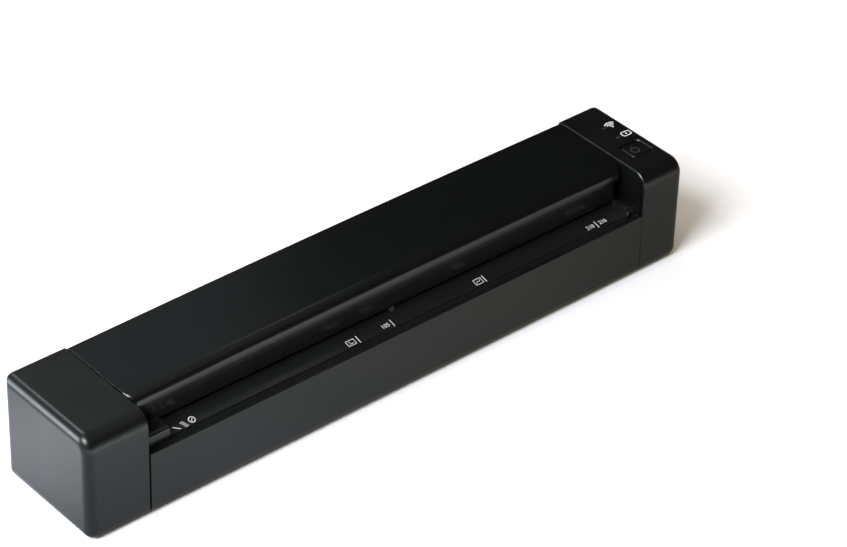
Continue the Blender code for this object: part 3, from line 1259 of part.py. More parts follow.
def card_socket():
    face = PORT_FACE
    low = BOARD_TOP + GAP
    half = CARD_SOCKET_WIDTH / 2
    start = (face - CARD_SOCKET_DEPTH, CARD_SOCKET_Y - half, low)
    end = (face, CARD_SOCKET_Y + half, low + CARD_SOCKET_HEIGHT)
    socket = block("card_socket", start, end, socket_metal())
    half = CARD_SLOT_WIDTH / 2
    middle = low + CARD_SOCKET_HEIGHT / 2
    depth = CARD_SOCKET_DEPTH - SHELL_WALL
    start = (face - depth, CARD_SOCKET_Y - half, middle - CARD_SLOT_HEIGHT / 2)
    end = (face + OVERRUN, CARD_SOCKET_Y + half, middle + CARD_SLOT_HEIGHT / 2)
    cut(socket, block("card_slot", start, end, None))


def usb_socket():
    """The metal shell with the tongue in its mouth."""
    face = PORT_FACE
    low = BOARD_TOP + GAP
    half = USB_WIDTH / 2
    start = (face - USB_DEPTH, USB_Y - half, low)
    socket = block("usb_socket", start, (face, USB_Y + half, low + USB_HEIGHT), socket_metal())
    half -= USB_SHELL
    start = (face - USB_DEPTH + USB_SHELL, USB_Y - half, low + USB_SHELL)
    end = (face + OVERRUN, USB_Y + half, low + USB_HEIGHT - USB_SHELL)
    cut(socket, block("usb_mouth", start, end, None))
    middle = low + USB_HEIGHT / 2
    half -= 2 * USB_SHELL
    start = (face - USB_DEPTH + USB_SHELL - SUNK / 2, USB_Y - half, middle - USB_SHELL / 2)
    end = (face - 2 * USB_SHELL, USB_Y + half, middle + USB_SHELL / 2)
    join(socket, block("usb_tongue", start, end, None))


def control_board():
    """The board under the right cap's top, with the two lamps; the switch sits on it."""
    side = INNER_HALF_DEPTH - CONTROL_SIDE_ROOM
    low = (RIGHT_PLATE_OUT + BUSHING_OUT + 2 * GAP, -side, CONTROL_BOARD_HEIGHT)
    high = (PORT_FACE, side, CONTROL_TOP)
    board = block("control_board", low, high, board_green())
    for name, y in (("wireless_lamp", WIRELESS_LIGHT_Y), ("battery_lamp", BATTERY_LIGHT_Y)):
        low = (LIGHT_X - LIGHT_LENGTH / 2, y - LIGHT_DEPTH / 2, CONTROL_TOP - SUNK)
        high = (LIGHT_X + LIGHT_LENGTH / 2, y + LIGHT_DEPTH / 2, CONTROL_TOP + LAMP_HEIGHT)
        join(board, block(name, low, high, None))
    half = SWITCH_SIDE / 2
    low = (BUTTON_X - half, BUTTON_Y - half, CONTROL_TOP + GAP)
    high = (BUTTON_X + half, BUTTON_Y + half, CONTROL_TOP + GAP + SWITCH_HEIGHT)
    switch = block("power_switch", low, high, chassis_grey())
    top = high[2]
    profile = [(top - SUNK, SWITCH_PLUNGER_RADIUS), (top + SWITCH_PLUNGER, SWITCH_PLUNGER_RADIUS)]
    join(switch, upright("switch_plunger", BUTTON_X, BUTTON_Y, profile, None))
    return top + SWITCH_PLUNGER


def light_guides():
    for name, y in (("wireless_light_guide", WIRELESS_LIGHT_Y), ("battery_light_guide", BATTERY_LIGHT_Y)):
        half_x, half_y = LIGHT_LENGTH / 2, LIGHT_DEPTH / 2
        low = (LIGHT_X - half_x, y - half_y, CONTROL_TOP + LAMP_HEIGHT + GAP)
        block(name, low, (LIGHT_X + half_x, y + half_y, BODY_HEIGHT - LIGHT_SINK), light_guide_clear())


def button_ring(z, spread):
    return rounded_ring(BUTTON_X, BUTTON_Y, z, BUTTON_LENGTH, BUTTON_DEPTH, BUTTON_CORNER, spread)


def power_button(plunger_top):
    """The key in the right cap: a chamfered top, a flange that keeps it in, and a stem to the switch."""
    top = BODY_HEIGHT - BUTTON_SINK
    origin = (BUTTON_X, BUTTON_Y, top)
    skirt = CAP_CEILING - GAP
    levels = [button_ring(skirt - BUTTON_FLANGE, BUTTON_FLANGE), button_ring(skirt, BUTTON_FLANGE)]
    levels += [button_ring(skirt, 0), button_ring(top - BUTTON_CHAMFER, 0), button_ring(top, -BUTTON_CHAMFER)]
    button = add("power_button", stacked(levels), satin_black(), origin)
    profile = [(plunger_top + GAP + BUTTON_TRAVEL, BUTTON_STEM_RADIUS), (skirt - SUNK, BUTTON_STEM_RADIUS)]
    join(button, upright("button_stem", BUTTON_X, BUTTON_Y, profile, None))


def main():
    clear_scene()
    left_end_cap()
    right_end_cap()
    left_chassis_plate()
    right_chassis_plate()
    lower_housing()
    feet()
    screws()
    lower_paper_guide()
    sensor_springs()
    image_sensor()
    feed_pieces = driven_roller("feed", FEED_Y)
    exit_pieces = driven_roller("exit", EXIT_Y)
    feed_gear, exit_gear = gear_train()
    motor_case()
    hinge_pins()
    paper_flag()
    main_board()
    radio_board()
    battery_pack()
    card_socket()
    usb_socket()
    power_button(control_board())
    light_guides()
    carry(axis_empty("feed_roller_axis", (PATH_MIDDLE, FEED_Y, ROLLER_Z)), *feed_pieces, feed_gear)
    carry(axis_empty("exit_roller_axis", (PATH_MIDDLE, EXIT_Y, ROLLER_Z)), *exit_pieces, exit_gear)
    cover_axis = axis_empty("cover_hinge_axis", (PATH_MIDDLE, HINGE_Y, HINGE_Z))
    carry(cover_axis, top_cover(), upper_paper_guide(), background_strip(), *pinch_springs())
    carry(cover_axis, *pinch_roller("front", FEED_Y), *pinch_roller("rear", EXIT_Y))


main()
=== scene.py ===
import math

import bpy
from mathutils import Matrix, Vector

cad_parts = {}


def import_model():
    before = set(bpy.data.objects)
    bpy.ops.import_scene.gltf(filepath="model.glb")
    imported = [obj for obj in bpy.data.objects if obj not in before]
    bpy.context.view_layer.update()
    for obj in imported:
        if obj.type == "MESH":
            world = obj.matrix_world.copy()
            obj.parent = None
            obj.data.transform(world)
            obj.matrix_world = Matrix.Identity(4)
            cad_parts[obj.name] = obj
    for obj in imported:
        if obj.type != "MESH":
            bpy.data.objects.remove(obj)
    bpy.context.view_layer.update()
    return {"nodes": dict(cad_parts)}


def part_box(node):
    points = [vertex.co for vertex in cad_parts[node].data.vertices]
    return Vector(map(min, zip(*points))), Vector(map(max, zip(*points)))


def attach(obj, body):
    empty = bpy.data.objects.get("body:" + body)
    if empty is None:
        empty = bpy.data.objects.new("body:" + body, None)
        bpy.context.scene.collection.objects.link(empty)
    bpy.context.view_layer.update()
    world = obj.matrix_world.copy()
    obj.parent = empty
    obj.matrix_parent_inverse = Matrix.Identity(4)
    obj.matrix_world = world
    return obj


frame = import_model()
NODES = frame["nodes"]

MM = 0.001

# Camera
CAMERA_PLACE = (-664.83 * MM, -785.23 * MM, 781.18 * MM)
CAMERA_AZIMUTH = math.radians(-41.585)
CAMERA_ELEVATION = math.radians(35.728)
CAMERA_ROLL = math.radians(1.991)
SENSOR_WIDTH = 36.0
PHOTO_WIDTH = 847
FOCAL_PIXELS = 3356.62
CLIP_START = 0.01
CLIP_END = 50.0

# Shading of the shells
WELD_DISTANCE = 0.002 * MM
FLAT_ANGLE = math.radians(0.05)
EDGE_ANGLE = math.radians(40)
EDGE_SEGMENTS = 2
SHARP_ANGLE = math.radians(50)
AREA_WEIGHT = 100

# Print on the shells: its thickness, the height of its underside, a figure's share of its letter
# size, and the steps of a figure's curves
PRINT_THICKNESS = 0.035 * MM
PRINT_LIFT = -0.02 * MM
FIGURE_SHARE = 0.69
FIGURE_STEPS = 4


def camera():
    """The camera at the photograph's viewing angle."""
    azimuth, elevation, roll = CAMERA_AZIMUTH, CAMERA_ELEVATION, CAMERA_ROLL
    ahead = Vector((
        -math.sin(azimuth) * math.cos(elevation),
        math.cos(azimuth) * math.cos(elevation),
        -math.sin(elevation),
    ))
    level = ahead.cross(Vector((0, 0, 1))).normalized()
    above = level.cross(ahead)
    right = level * math.cos(roll) + above * math.sin(roll)
    up = above * math.cos(roll) - level * math.sin(roll)
    data = bpy.data.cameras.new("camera")
    data.sensor_width = SENSOR_WIDTH
    data.lens = FOCAL_PIXELS * SENSOR_WIDTH / PHOTO_WIDTH
    data.clip_start = CLIP_START
    data.clip_end = CLIP_END
    made = bpy.data.objects.new("camera", data)
    bpy.context.scene.collection.objects.link(made)
    turned = Matrix((right, up, -ahead)).transposed().to_4x4()
    turned.translation = Vector(CAMERA_PLACE)
    made.matrix_world = turned
    bpy.context.scene.camera = made


class Tree:
    """Builds a node tree, a node at a time."""

    def __init__(self, tree):
        self.nodes = tree.nodes
        self.links = tree.links

    def add(self, kind, **settings):
        """A new node with those settings."""
        node = self.nodes.new(kind)
        for key, value in settings.items():
            setattr(node, key, value)
        return node

    def feed(self, socket, value):
        """Links a socket to another's output, or sets it to a constant."""
        if hasattr(value, "is_output"):
            self.links.new(value, socket)
        else:
            socket.default_value = value

    def between(self, value, low, high, start=0.0, end=1.0):
        """The value, taken from low..high to start..end."""
        node = self.add("ShaderNodeMapRange")
        limits = (("From Min", low), ("From Max", high), ("To Min", start), ("To Max", end))
        for key, number in limits:
            self.feed(node.inputs[key], number)
        self.feed(node.inputs["Value"], value)
        return node.outputs["Result"]

    def mix(self, share, first, second):
        """A colour between two, by that share."""
        node = self.add("ShaderNodeMix", data_type="RGBA")
        self.feed(node.inputs[0], share)
        for socket, colour in ((node.inputs[6], first), (node.inputs[7], second)):
            self.feed(socket, (*colour, 1) if isinstance(colour, tuple) else colour)
        return node.outputs[2]

    def ramp(self, value, stops):
        """Colours along a value, each stop a place and its colour."""
        low, high = stops[0][0], stops[-1][0]
        node = self.add("ShaderNodeValToRGB")
        self.feed(node.inputs["Fac"], self.between(value, low, high))
        band = node.color_ramp
        for index, (place, colour) in enumerate(stops):
            share = (place - low) / (high - low)
            stop = band.elements[index] if index < 2 else band.elements.new(share)
            stop.position = share
            stop.color = (*colour, 1)
        return node.outputs["Color"]

    def joined(self, first, second, how="ADD"):
        """Two numbers joined by that operation."""
        node = self.add("ShaderNodeMath", operation=how)
        self.feed(node.inputs[0], first)
        self.feed(node.inputs[1], second)
        return node.outputs[0]

    def scaled(self, colour, factor):
        """A colour times a number."""
        node = self.add("ShaderNodeVectorMath", operation="SCALE")
        self.feed(node.inputs[0], colour)
        self.feed(node.inputs["Scale"], factor)
        return node.outputs["Vector"]

    def against(self, place, other, how):
        """A place set against a fixed one, by their distance or their dot product."""
        node = self.add("ShaderNodeVectorMath", operation=how)
        self.feed(node.inputs[0], place)
        node.inputs[1].default_value = other
        return node.outputs["Value"]


class Shader(Tree):
    """Builds the nodes of one material."""

    def __init__(self, name):
        self.material = bpy.data.materials.new(name)
        self.material.use_nodes = True
        super().__init__(self.material.node_tree)
        self.shader = self.nodes["Principled BSDF"]
        self.place = self.add("ShaderNodeTexCoord").outputs["Object"]

    def set(self, **values):
        """Sets or links inputs of the shader."""
        for key, value in values.items():
            self.feed(self.shader.inputs[key.replace("_", " ")], value)

    def noise(self, size, detail=2.0, rough=0.5, stretch=None):
        """Noise whose grains are that size, in metres."""
        place = self.place
        if stretch is not None:
            mapping = self.add("ShaderNodeMapping")
            self.feed(mapping.inputs["Vector"], place)
            mapping.inputs["Scale"].default_value = stretch
            place = mapping.outputs["Vector"]
        node = self.add("ShaderNodeTexNoise")
        self.feed(node.inputs["Vector"], place)
        node.inputs["Scale"].default_value = 1 / size
        node.inputs["Detail"].default_value = detail
        node.inputs["Roughness"].default_value = rough
        return node.outputs["Fac"]

    def bump(self, height, distance):
        """Raises the surface by that height, whose full range is that distance."""
        node = self.add("ShaderNodeBump")
        node.inputs["Strength"].default_value = 1.0
        node.inputs["Distance"].default_value = distance
        self.feed(node.inputs["Height"], height)
        self.set(Normal=node.outputs["Normal"])
        return self


def textured_black(name, dark, light, low, high, grain):
    """Moulded plastic with a fine spark-eroded grain."""
    made = Shader(name)
    fine = made.noise(0.22 * MM, 3.0, 0.6)
    coarse = made.noise(0.9 * MM, 2.0, 0.5)
    cloud = made.noise(22 * MM, 3.0, 0.55)
    colour = made.mix(made.between(cloud, 0.35, 0.65), dark, light)
    speck = made.between(fine, 0.62, 0.72)
    lifted = tuple(1.5 * c + 0.002 for c in light)
    made.set(Base_Color=made.mix(speck, colour, lifted))
    patches = made.between(cloud, 0.3, 0.7, low, high)
    made.set(Roughness=made.joined(patches, made.between(fine, 0.3, 0.7, -0.03, 0.05)))
    made.set(Specular_IOR_Level=0.5)
    return made.bump(made.joined(fine, made.joined(coarse, 0.6, "MULTIPLY")), grain).material


def gloss_black(name):
    """Polished plastic of the paper path, with faint wiping marks."""
    made = Shader(name)
    wipe = made.noise(1.2 * MM, 4.0, 0.6, stretch=(0.08, 1.0, 1.0))
    dust = made.noise(0.35 * MM, 2.0, 0.5)
    shade = made.between(dust, 0.70, 0.78)
    made.set(Base_Color=made.mix(shade, (0.0080, 0.0088, 0.0095), (0.022, 0.022, 0.023)))
    made.set(Roughness=made.between(wipe, 0.3, 0.7, 0.16, 0.26))
    return made.bump(wipe, 0.002 * MM).material


def plain_plastic(name, dark, light, rough):
    """Moulded plastic without a grain of its own."""
    made = Shader(name)
    fine = made.noise(0.3 * MM, 3.0, 0.6)
    cloud = made.noise(9 * MM, 2.0)
    made.set(Base_Color=made.mix(made.between(cloud, 0.3, 0.7), dark, light))
    made.set(Roughness=made.between(fine, 0.3, 0.7, rough - 0.05, rough + 0.08))
    return made.bump(fine, 0.01 * MM).material


def metal(name, dark, light, rough, stretch=(1.0, 1.0, 1.0)):
    """Machined or rolled metal, its fine lines along the way that is stretched."""
    made = Shader(name)
    lines = made.noise(0.12 * MM, 3.0, 0.6, stretch=stretch)
    stain = made.noise(4 * MM, 3.0)
    made.set(Base_Color=made.mix(made.between(stain, 0.3, 0.7), dark, light))
    made.set(Metallic=1.0)
    made.set(Roughness=made.between(lines, 0.3, 0.7, rough - 0.06, rough + 0.1))
    return made.bump(lines, 0.003 * MM).material


def rubber(name, dark, light):
    """Matt rubber."""
    made = Shader(name)
    fine = made.noise(0.15 * MM, 4.0, 0.7)
    worn = made.noise(3 * MM, 3.0)
    made.set(Base_Color=made.mix(made.between(worn, 0.35, 0.65), dark, light))
    made.set(Roughness=made.between(fine, 0.3, 0.7, 0.72, 0.9))
    return made.bump(fine, 0.02 * MM).material


def board_green():
    """Circuit board: green mask over fine tracks."""
    made = Shader("board_green")
    tracks = made.add("ShaderNodeTexBrick", offset=0.35, squash=1.0)
    made.feed(tracks.inputs["Vector"], made.place)
    tracks.inputs["Scale"].default_value = 1 / (4 * MM)
    tracks.inputs["Mortar Size"].default_value = 0.06
    tracks.inputs["Row Height"].default_value = 0.3
    board = made.mix(tracks.outputs["Fac"], (0.006, 0.055, 0.022), (0.012, 0.11, 0.045))
    pads = made.between(made.noise(1.4 * MM, 0.0), 0.70, 0.72)
    made.set(Base_Color=made.mix(pads, board, (0.55, 0.42, 0.18)))
    made.set(Roughness=made.between(made.noise(2 * MM), 0.3, 0.7, 0.25, 0.4))
    return made.bump(tracks.outputs["Fac"], 0.03 * MM).material


def battery_wrap():
    """Shrink film round the cells."""
    made = Shader("battery_wrap")
    wrinkle = made.noise(3 * MM, 3.0, 0.6, stretch=(0.3, 1.0, 1.0))
    shade = made.between(wrinkle, 0.3, 0.7)
    made.set(Base_Color=made.mix(shade, (0.012, 0.03, 0.12), (0.02, 0.045, 0.17)))
    made.set(Roughness=made.between(wrinkle, 0.3, 0.7, 0.2, 0.35))
    return made.bump(wrinkle, 0.08 * MM).material


def sensor_glass():
    """The sensor's window, slightly smeared."""
    made = Shader("sensor_glass")
    smear = made.noise(8 * MM, 4.0, 0.6)
    shade = made.between(smear, 0.3, 0.7)
    made.set(Base_Color=made.mix(shade, (0.20, 0.24, 0.23), (0.28, 0.32, 0.31)))
    made.set(Roughness=made.between(smear, 0.3, 0.7, 0.02, 0.07))
    made.set(Transmission_Weight=0.6, IOR=1.52)
    return made.material


def light_guide():
    """Smoked clear plastic, dark while its lamp is off."""
    made = Shader("light_guide_clear")
    cloud = made.noise(1.5 * MM, 3.0)
    shade = made.between(cloud, 0.3, 0.7)
    made.set(Base_Color=made.mix(shade, (0.020, 0.022, 0.024), (0.035, 0.038, 0.040)))
    made.set(Roughness=made.between(cloud, 0.3, 0.7, 0.10, 0.2), IOR=1.5)
    return made.material


def print_ink(name, full, thin_colour):
    """Pad-printed ink, slightly thin in places."""
    made = Shader(name)
    thin = made.noise(0.25 * MM, 4.0, 0.7)
    made.set(Base_Color=made.mix(made.between(thin, 0.40, 0.75), full, thin_colour))
    made.set(Roughness=made.between(thin, 0.3, 0.7, 0.45, 0.65))
    return made.material


def shell_smoothing():
    """Geometry nodes that drop the stored normals and shade smooth below the sharp angle."""
    group = bpy.data.node_groups.new("shell_smoothing", "GeometryNodeTree")
    for way in ("INPUT", "OUTPUT"):
        group.interface.new_socket("Geometry", in_out=way, socket_type="NodeSocketGeometry")
    new = group.nodes.new
    start = new("NodeGroupInput")
    drop = new("GeometryNodeRemoveAttribute")
    drop.inputs["Name"].default_value = "custom_normal"
    faces = new("GeometryNodeSetShadeSmooth")
    edges = new("GeometryNodeSetShadeSmooth")
    edges.domain = "EDGE"
    angle = new("GeometryNodeInputMeshEdgeAngle")
    below = new("FunctionNodeCompare")
    below.operation = "LESS_EQUAL"
    below.inputs[1].default_value = SHARP_ANGLE
    end = new("NodeGroupOutput")
    for out, into in (
        (start.outputs[0], drop.inputs[0]),
        (drop.outputs[0], faces.inputs[0]),
        (faces.outputs[0], edges.inputs[0]),
        (angle.outputs["Unsigned Angle"], below.inputs[0]),
        (below.outputs[0], edges.inputs["Shade Smooth"]),
        (edges.outputs[0], end.inputs[0]),
    ):
        group.links.new(out, into)
    return group


def smooth(node, group, edge):
    """Joins the node's triangles, rounds its edges by that width and shades it smooth."""
    weld = node.modifiers.new("weld", "WELD")
    weld.merge_threshold = WELD_DISTANCE
    flat = node.modifiers.new("flat", "DECIMATE")
    flat.decimate_type = "DISSOLVE"
    flat.angle_limit = FLAT_ANGLE
    if edge:
        bevel = node.modifiers.new("bevel", "BEVEL")
        bevel.width = edge
        bevel.segments = EDGE_SEGMENTS
        bevel.limit_method = "ANGLE"
        bevel.angle_limit = EDGE_ANGLE
    shade = node.modifiers.new("smooth", "NODES")
    shade.node_group = group
    normals = node.modifiers.new("normals", "WEIGHTED_NORMAL")
    normals.keep_sharp = True
    normals.weight = AREA_WEIGHT


# The width of the bevel on the edges of the outer pieces
EDGE_WIDTHS = {
    "left_end_cap": 0.15 * MM,
    "right_end_cap": 0.15 * MM,
    "top_cover": 0.15 * MM,
    "lower_housing": 0.15 * MM,
    "lower_paper_guide": 0.10 * MM,
    "upper_paper_guide": 0.10 * MM,
    "power_button": 0.12 * MM,
}

# Nodes whose finish differs from the others of their slot
OWN_FINISHES = {"top_cover": "cover_black"}

# How the lines of drawn steel are stretched
DRAWN = (0.05, 1.0, 1.0)


def dress_nodes():
    """Gives each carried-over node its material and its smoothing."""
    slots = {
        "satin_black": textured_black(
            "satin_black",
            (0.0034, 0.0038, 0.0041),
            (0.0046, 0.0051, 0.0055),
            0.30,
            0.37,
            0.006 * MM,
        ),
        "cover_black": textured_black(
            "cover_black",
            (0.0036, 0.0040, 0.0044),
            (0.0042, 0.0047, 0.0051),
            0.22,
            0.24,
            0.003 * MM,
        ),
        "gloss_black": gloss_black("gloss_black"),
        "chassis_grey": plain_plastic(
            "chassis_grey", (0.035, 0.036, 0.038), (0.05, 0.051, 0.053), 0.5
        ),
        "white_plastic": plain_plastic(
            "white_plastic", (0.72, 0.72, 0.70), (0.80, 0.80, 0.78), 0.5
        ),
        "gear_plastic": plain_plastic(
            "gear_plastic", (0.62, 0.60, 0.52), (0.70, 0.68, 0.60), 0.42
        ),
        "bushing_bronze": metal("bushing_bronze", (0.45, 0.26, 0.10), (0.55, 0.34, 0.15), 0.35),
        "steel": metal("steel", (0.50, 0.50, 0.51), (0.60, 0.60, 0.61), 0.28, DRAWN),
        "spring_steel": metal(
            "spring_steel", (0.42, 0.41, 0.39), (0.52, 0.51, 0.49), 0.3, DRAWN
        ),
        "roller_rubber": rubber("roller_rubber", (0.028, 0.028, 0.030), (0.045, 0.045, 0.047)),
        "foot_rubber": rubber("foot_rubber", (0.012, 0.012, 0.013), (0.02, 0.02, 0.021)),
        "board_green": board_green(),
        "socket_metal": metal("socket_metal", (0.55, 0.55, 0.54), (0.66, 0.66, 0.65), 0.25),
        "battery_wrap": battery_wrap(),
        "sensor_glass": sensor_glass(),
        "light_guide_clear": light_guide(),
    }
    group = shell_smoothing()
    for name, node in NODES.items():
        for carried in node.material_slots:
            carried.material = slots[OWN_FINISHES.get(name, carried.material.name.split(".")[0])]
        smooth(node, group, EDGE_WIDTHS.get(name, 0.0))


class Sheet:
    """A flat place to print on: its origin, its ways along and up, its body and its ink."""

    def __init__(self, origin, along, up, body, ink):
        self.origin = Vector(origin)
        self.along = Vector(along).normalized()
        self.up = Vector(up).normalized()
        self.out = self.along.cross(self.up)
        self.body = body
        self.ink = ink

    def put(self, name, outlines):
        """Prints closed outlines, each a list of points in mm, as one thin piece."""
        points, faces = [], []
        for outline in outlines:
            count = len(outline)
            start = len(points)
            for height in (PRINT_LIFT, PRINT_LIFT + PRINT_THICKNESS):
                for x, y in outline:
                    flat = self.origin + self.along * x * MM + self.up * y * MM
                    points.append(flat + self.out * height)
            faces.append([start + i for i in reversed(range(count))])
            faces.append([start + count + i for i in range(count)])
            for i in range(count):
                after = (i + 1) % count
                faces.append([start + i, start + after, start + count + after, start + count + i])
        mesh = bpy.data.meshes.new(name)
        mesh.from_pydata(points, [], faces)
        mesh.materials.append(self.ink)
        made = bpy.data.objects.new(name, mesh)
        bpy.context.scene.collection.objects.link(made)
        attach(made, self.body)

    def write(self, name, text, size, at):
        """Prints plain numbers of that height, in mm, centred on the point."""
        letters = bpy.data.curves.new(name, "FONT")
        letters.body = text
        letters.size = size * MM / FIGURE_SHARE
        letters.align_x = "CENTER"
        letters.align_y = "CENTER"
        letters.extrude = PRINT_THICKNESS / 2
        letters.resolution_u = FIGURE_STEPS
        draft = bpy.data.objects.new(name + "_draft", letters)
        bpy.context.scene.collection.objects.link(draft)
        bpy.context.view_layer.update()
        graph = bpy.context.evaluated_depsgraph_get()
        mesh = bpy.data.meshes.new_from_object(draft.evaluated_get(graph))
        mesh.name = name
        bpy.data.objects.remove(draft)
        turned = Matrix((self.along, self.up, self.out)).transposed().to_4x4()
        turned.translation = (
            self.origin
            + self.along * at[0] * MM
            + self.up * at[1] * MM
            + self.out * (PRINT_LIFT + PRINT_THICKNESS / 2)
        )
        mesh.transform(turned)
        mesh.materials.clear()
        mesh.materials.append(self.ink)
        made = bpy.data.objects.new(name, mesh)
        bpy.context.scene.collection.objects.link(made)
        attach(made, self.body)


def stroke(points, width):
    """The outline of an open line of that width."""
    left, right = [], []
    for index, point in enumerate(points):
        before = Vector(points[max(index - 1, 0)])
        after = Vector(points[min(index + 1, len(points) - 1)])
        way = (after - before).normalized()
        side = Vector((-way.y, way.x)) * width / 2
        left.append(tuple(Vector(point) + side))
        right.append(tuple(Vector(point) - side))
    return right + left[::-1]


def arc(centre, radius, start, end, width, steps=14):
    """A curved line's outline, its angles in degrees."""
    x, y = centre
    angles = [math.radians(start + (end - start) * i / steps) for i in range(steps + 1)]
    return stroke([(x + radius * math.cos(a), y + radius * math.sin(a)) for a in angles], width)


def frame_lines(width, height, line):
    """The four sides of a rectangle drawn with a line."""
    x, y = width / 2, height / 2
    return [
        stroke([(-x - line / 2, -y), (x + line / 2, -y)], line),
        stroke([(x, -y), (x, y)], line),
        stroke([(x + line / 2, y), (-x - line / 2, y)], line),
        stroke([(-x, y), (-x, -y)], line),
    ]


def rounded_frame(centre, width, height, radius, line):
    """A rounded rectangle drawn with a line: two straight sides and two with bent ends."""
    x, y = width / 2, height / 2
    left, right = centre[0] - x + radius, centre[0] + x - radius
    bend = []
    for angle in range(90, 271, 15):
        turn = math.radians(angle)
        corner = math.copysign(y - radius, math.sin(turn)) if angle != 180 else 0.0
        bend.append((left + radius * math.cos(turn), centre[1] + corner + radius * math.sin(turn)))
    mirrored = [(2 * centre[0] - a, 2 * centre[1] - b) for a, b in bend]
    edges = (centre[1] - y, centre[1] + y)
    straight = [stroke([(left, edge), (right, edge)], line) for edge in edges]
    return straight + [stroke(bend, line), stroke(mirrored, line)]


def disc(centre, radius, steps=16):
    """A filled circle's outline."""
    x, y = centre
    angles = [2 * math.pi / steps * i for i in range(steps)]
    return [(x + radius * math.cos(a), y + radius * math.sin(a)) for a in angles]


def shifted(points, x, y):
    """The points, moved by that much."""
    return [(a + x, b + y) for a, b in points]


# The ledge's front edge and its crest, each as its place to the back and its height, in mm
LEDGE_FRONT = (-21.5, 27.9)
LEDGE_CREST = (-16.0, 29.35)

# Marks on the ledge, in mm along the body and up the ledge from its front edge. In the card, the
# photo and the ring the second number counts from the middle of the ticks.
TICK_START = 0.4
TICK_END = 3.9
LINE = 0.30
THIN = 0.22
TICKS = (("card", -16.8), ("small", -0.2), ("photo", 45.9), ("large", 104.6))
NUMBERS = (("105", -3.4), ("210", 101.4), ("216", 107.9))
NUMBER_HEIGHT = 1.8
PICTURE_WIDTH = 3.6
CARD_CENTRE = -20.2
CARD_HEIGHT = 2.5
CARD_LINES = (((-21.1, -0.45), (-19.3, -0.45)), ((-21.1, 0.4), (-20.3, 0.4)))
PHOTO_CENTRE = 42.9
PHOTO_HEIGHT = 2.6
PHOTO_HILLS = ((41.7, -0.7), (42.6, 0.3), (43.2, -0.3), (44.0, 0.6))
PEN_BODY = ((-102.9, 2.6), (-101.1, 1.0))
PEN_BODY_LINE = 0.42
PEN_TIP = ((-101.2, 0.9), (-100.4, 0.7))
SHEET_LINE_ENDS = ((-99.6, 2.9), (-98.0, 3.1))
SHEET_STEP = (0.25, -0.62)
SHEET_ROWS = 5
SHEET_LINE = 0.2
RING_CENTRE = -94.6
RING_RADIUS = 1.25
RING_LINE = 0.34
RING_BAR = ((-95.1, -0.5), (-94.1, 0.5))
RING_BAR_LINE = 0.26
RING_STEPS = 24

# Signs on the right cap and its button, in mm along the body and to the back
WIRELESS_CENTRE = (138.6, 8.9)
WIRELESS_RADII = (1.35, 2.35, 3.35)
WIRELESS_SPAN = (45, 135)
WIRELESS_LINE = 0.55
WIRELESS_DOT = (138.6, 9.1)
DOT_RADIUS = 0.45
BATTERY_CENTRE = (139.4, 2.2)
BATTERY_SIZE = (4.2, 2.7)
BATTERY_CORNER = 0.9
BATTERY_LINE = 0.5
POWER_CENTRE = (134.3, -8.4)
POWER_RADIUS = 1.75
POWER_SPAN = (120, 420)
POWER_BAR = ((134.3, -7.9), (134.3, -5.9))
POWER_LINE = 0.42


def print_ledge(ink):
    """The paper guide's size ticks, with plain millimetre numbers and small generic pictures."""
    run = LEDGE_CREST[0] - LEDGE_FRONT[0]
    rise = LEDGE_CREST[1] - LEDGE_FRONT[1]
    front = (0, LEDGE_FRONT[0] * MM, LEDGE_FRONT[1] * MM)
    sheet = Sheet(front, (1, 0, 0), (0, run, rise), "housing", ink)
    middle = (TICK_START + TICK_END) / 2
    for name, x in TICKS:
        sheet.put("tick_" + name, [stroke([(x, TICK_START), (x, TICK_END)], LINE)])
    sheet.put(
        "card_picture",
        [shifted(o, CARD_CENTRE, middle) for o in frame_lines(PICTURE_WIDTH, CARD_HEIGHT, THIN)]
        + [stroke(shifted(line, 0.0, middle), THIN) for line in CARD_LINES],
    )
    sheet.put(
        "photo_picture",
        [shifted(o, PHOTO_CENTRE, middle) for o in frame_lines(PICTURE_WIDTH, PHOTO_HEIGHT, THIN)]
        + [stroke(shifted(PHOTO_HILLS, 0.0, middle), THIN)],
    )
    for number, x in NUMBERS:
        sheet.write("number_" + number, number, NUMBER_HEIGHT, (x, middle))
    sheet.put("pen_picture", [stroke(PEN_BODY, PEN_BODY_LINE), stroke(PEN_TIP, LINE)])
    sheet.put(
        "sheet_picture",
        [
            stroke(shifted(SHEET_LINE_ENDS, SHEET_STEP[0] * row, SHEET_STEP[1] * row), SHEET_LINE)
            for row in range(SHEET_ROWS)
        ],
    )
    sheet.put(
        "ring_picture",
        [arc((RING_CENTRE, middle), RING_RADIUS, 0, 360, RING_LINE, RING_STEPS)]
        + [stroke(shifted(RING_BAR, 0.0, middle), RING_BAR_LINE)],
    )


def print_cap(ink, dim_ink):
    """The signs for the wireless link and the battery, and the button's dim one for the power."""
    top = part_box("right_end_cap")[1].z
    sheet = Sheet((0, 0, top), (1, 0, 0), (0, 1, 0), "housing", ink)
    sheet.put(
        "wireless_sign",
        [arc(WIRELESS_CENTRE, radius, *WIRELESS_SPAN, WIRELESS_LINE) for radius in WIRELESS_RADII]
        + [disc(WIRELESS_DOT, DOT_RADIUS)],
    )
    sheet.put(
        "battery_sign",
        rounded_frame(BATTERY_CENTRE, *BATTERY_SIZE, BATTERY_CORNER, BATTERY_LINE)
        + [disc(BATTERY_CENTRE, DOT_RADIUS)],
    )
    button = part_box("power_button")[1].z
    dim = Sheet((0, 0, button), (1, 0, 0), (0, 1, 0), "power_key", dim_ink)
    dim.put(
        "power_sign",
        [arc(POWER_CENTRE, POWER_RADIUS, *POWER_SPAN, POWER_LINE, RING_STEPS)]
        + [stroke(POWER_BAR, POWER_LINE)],
    )


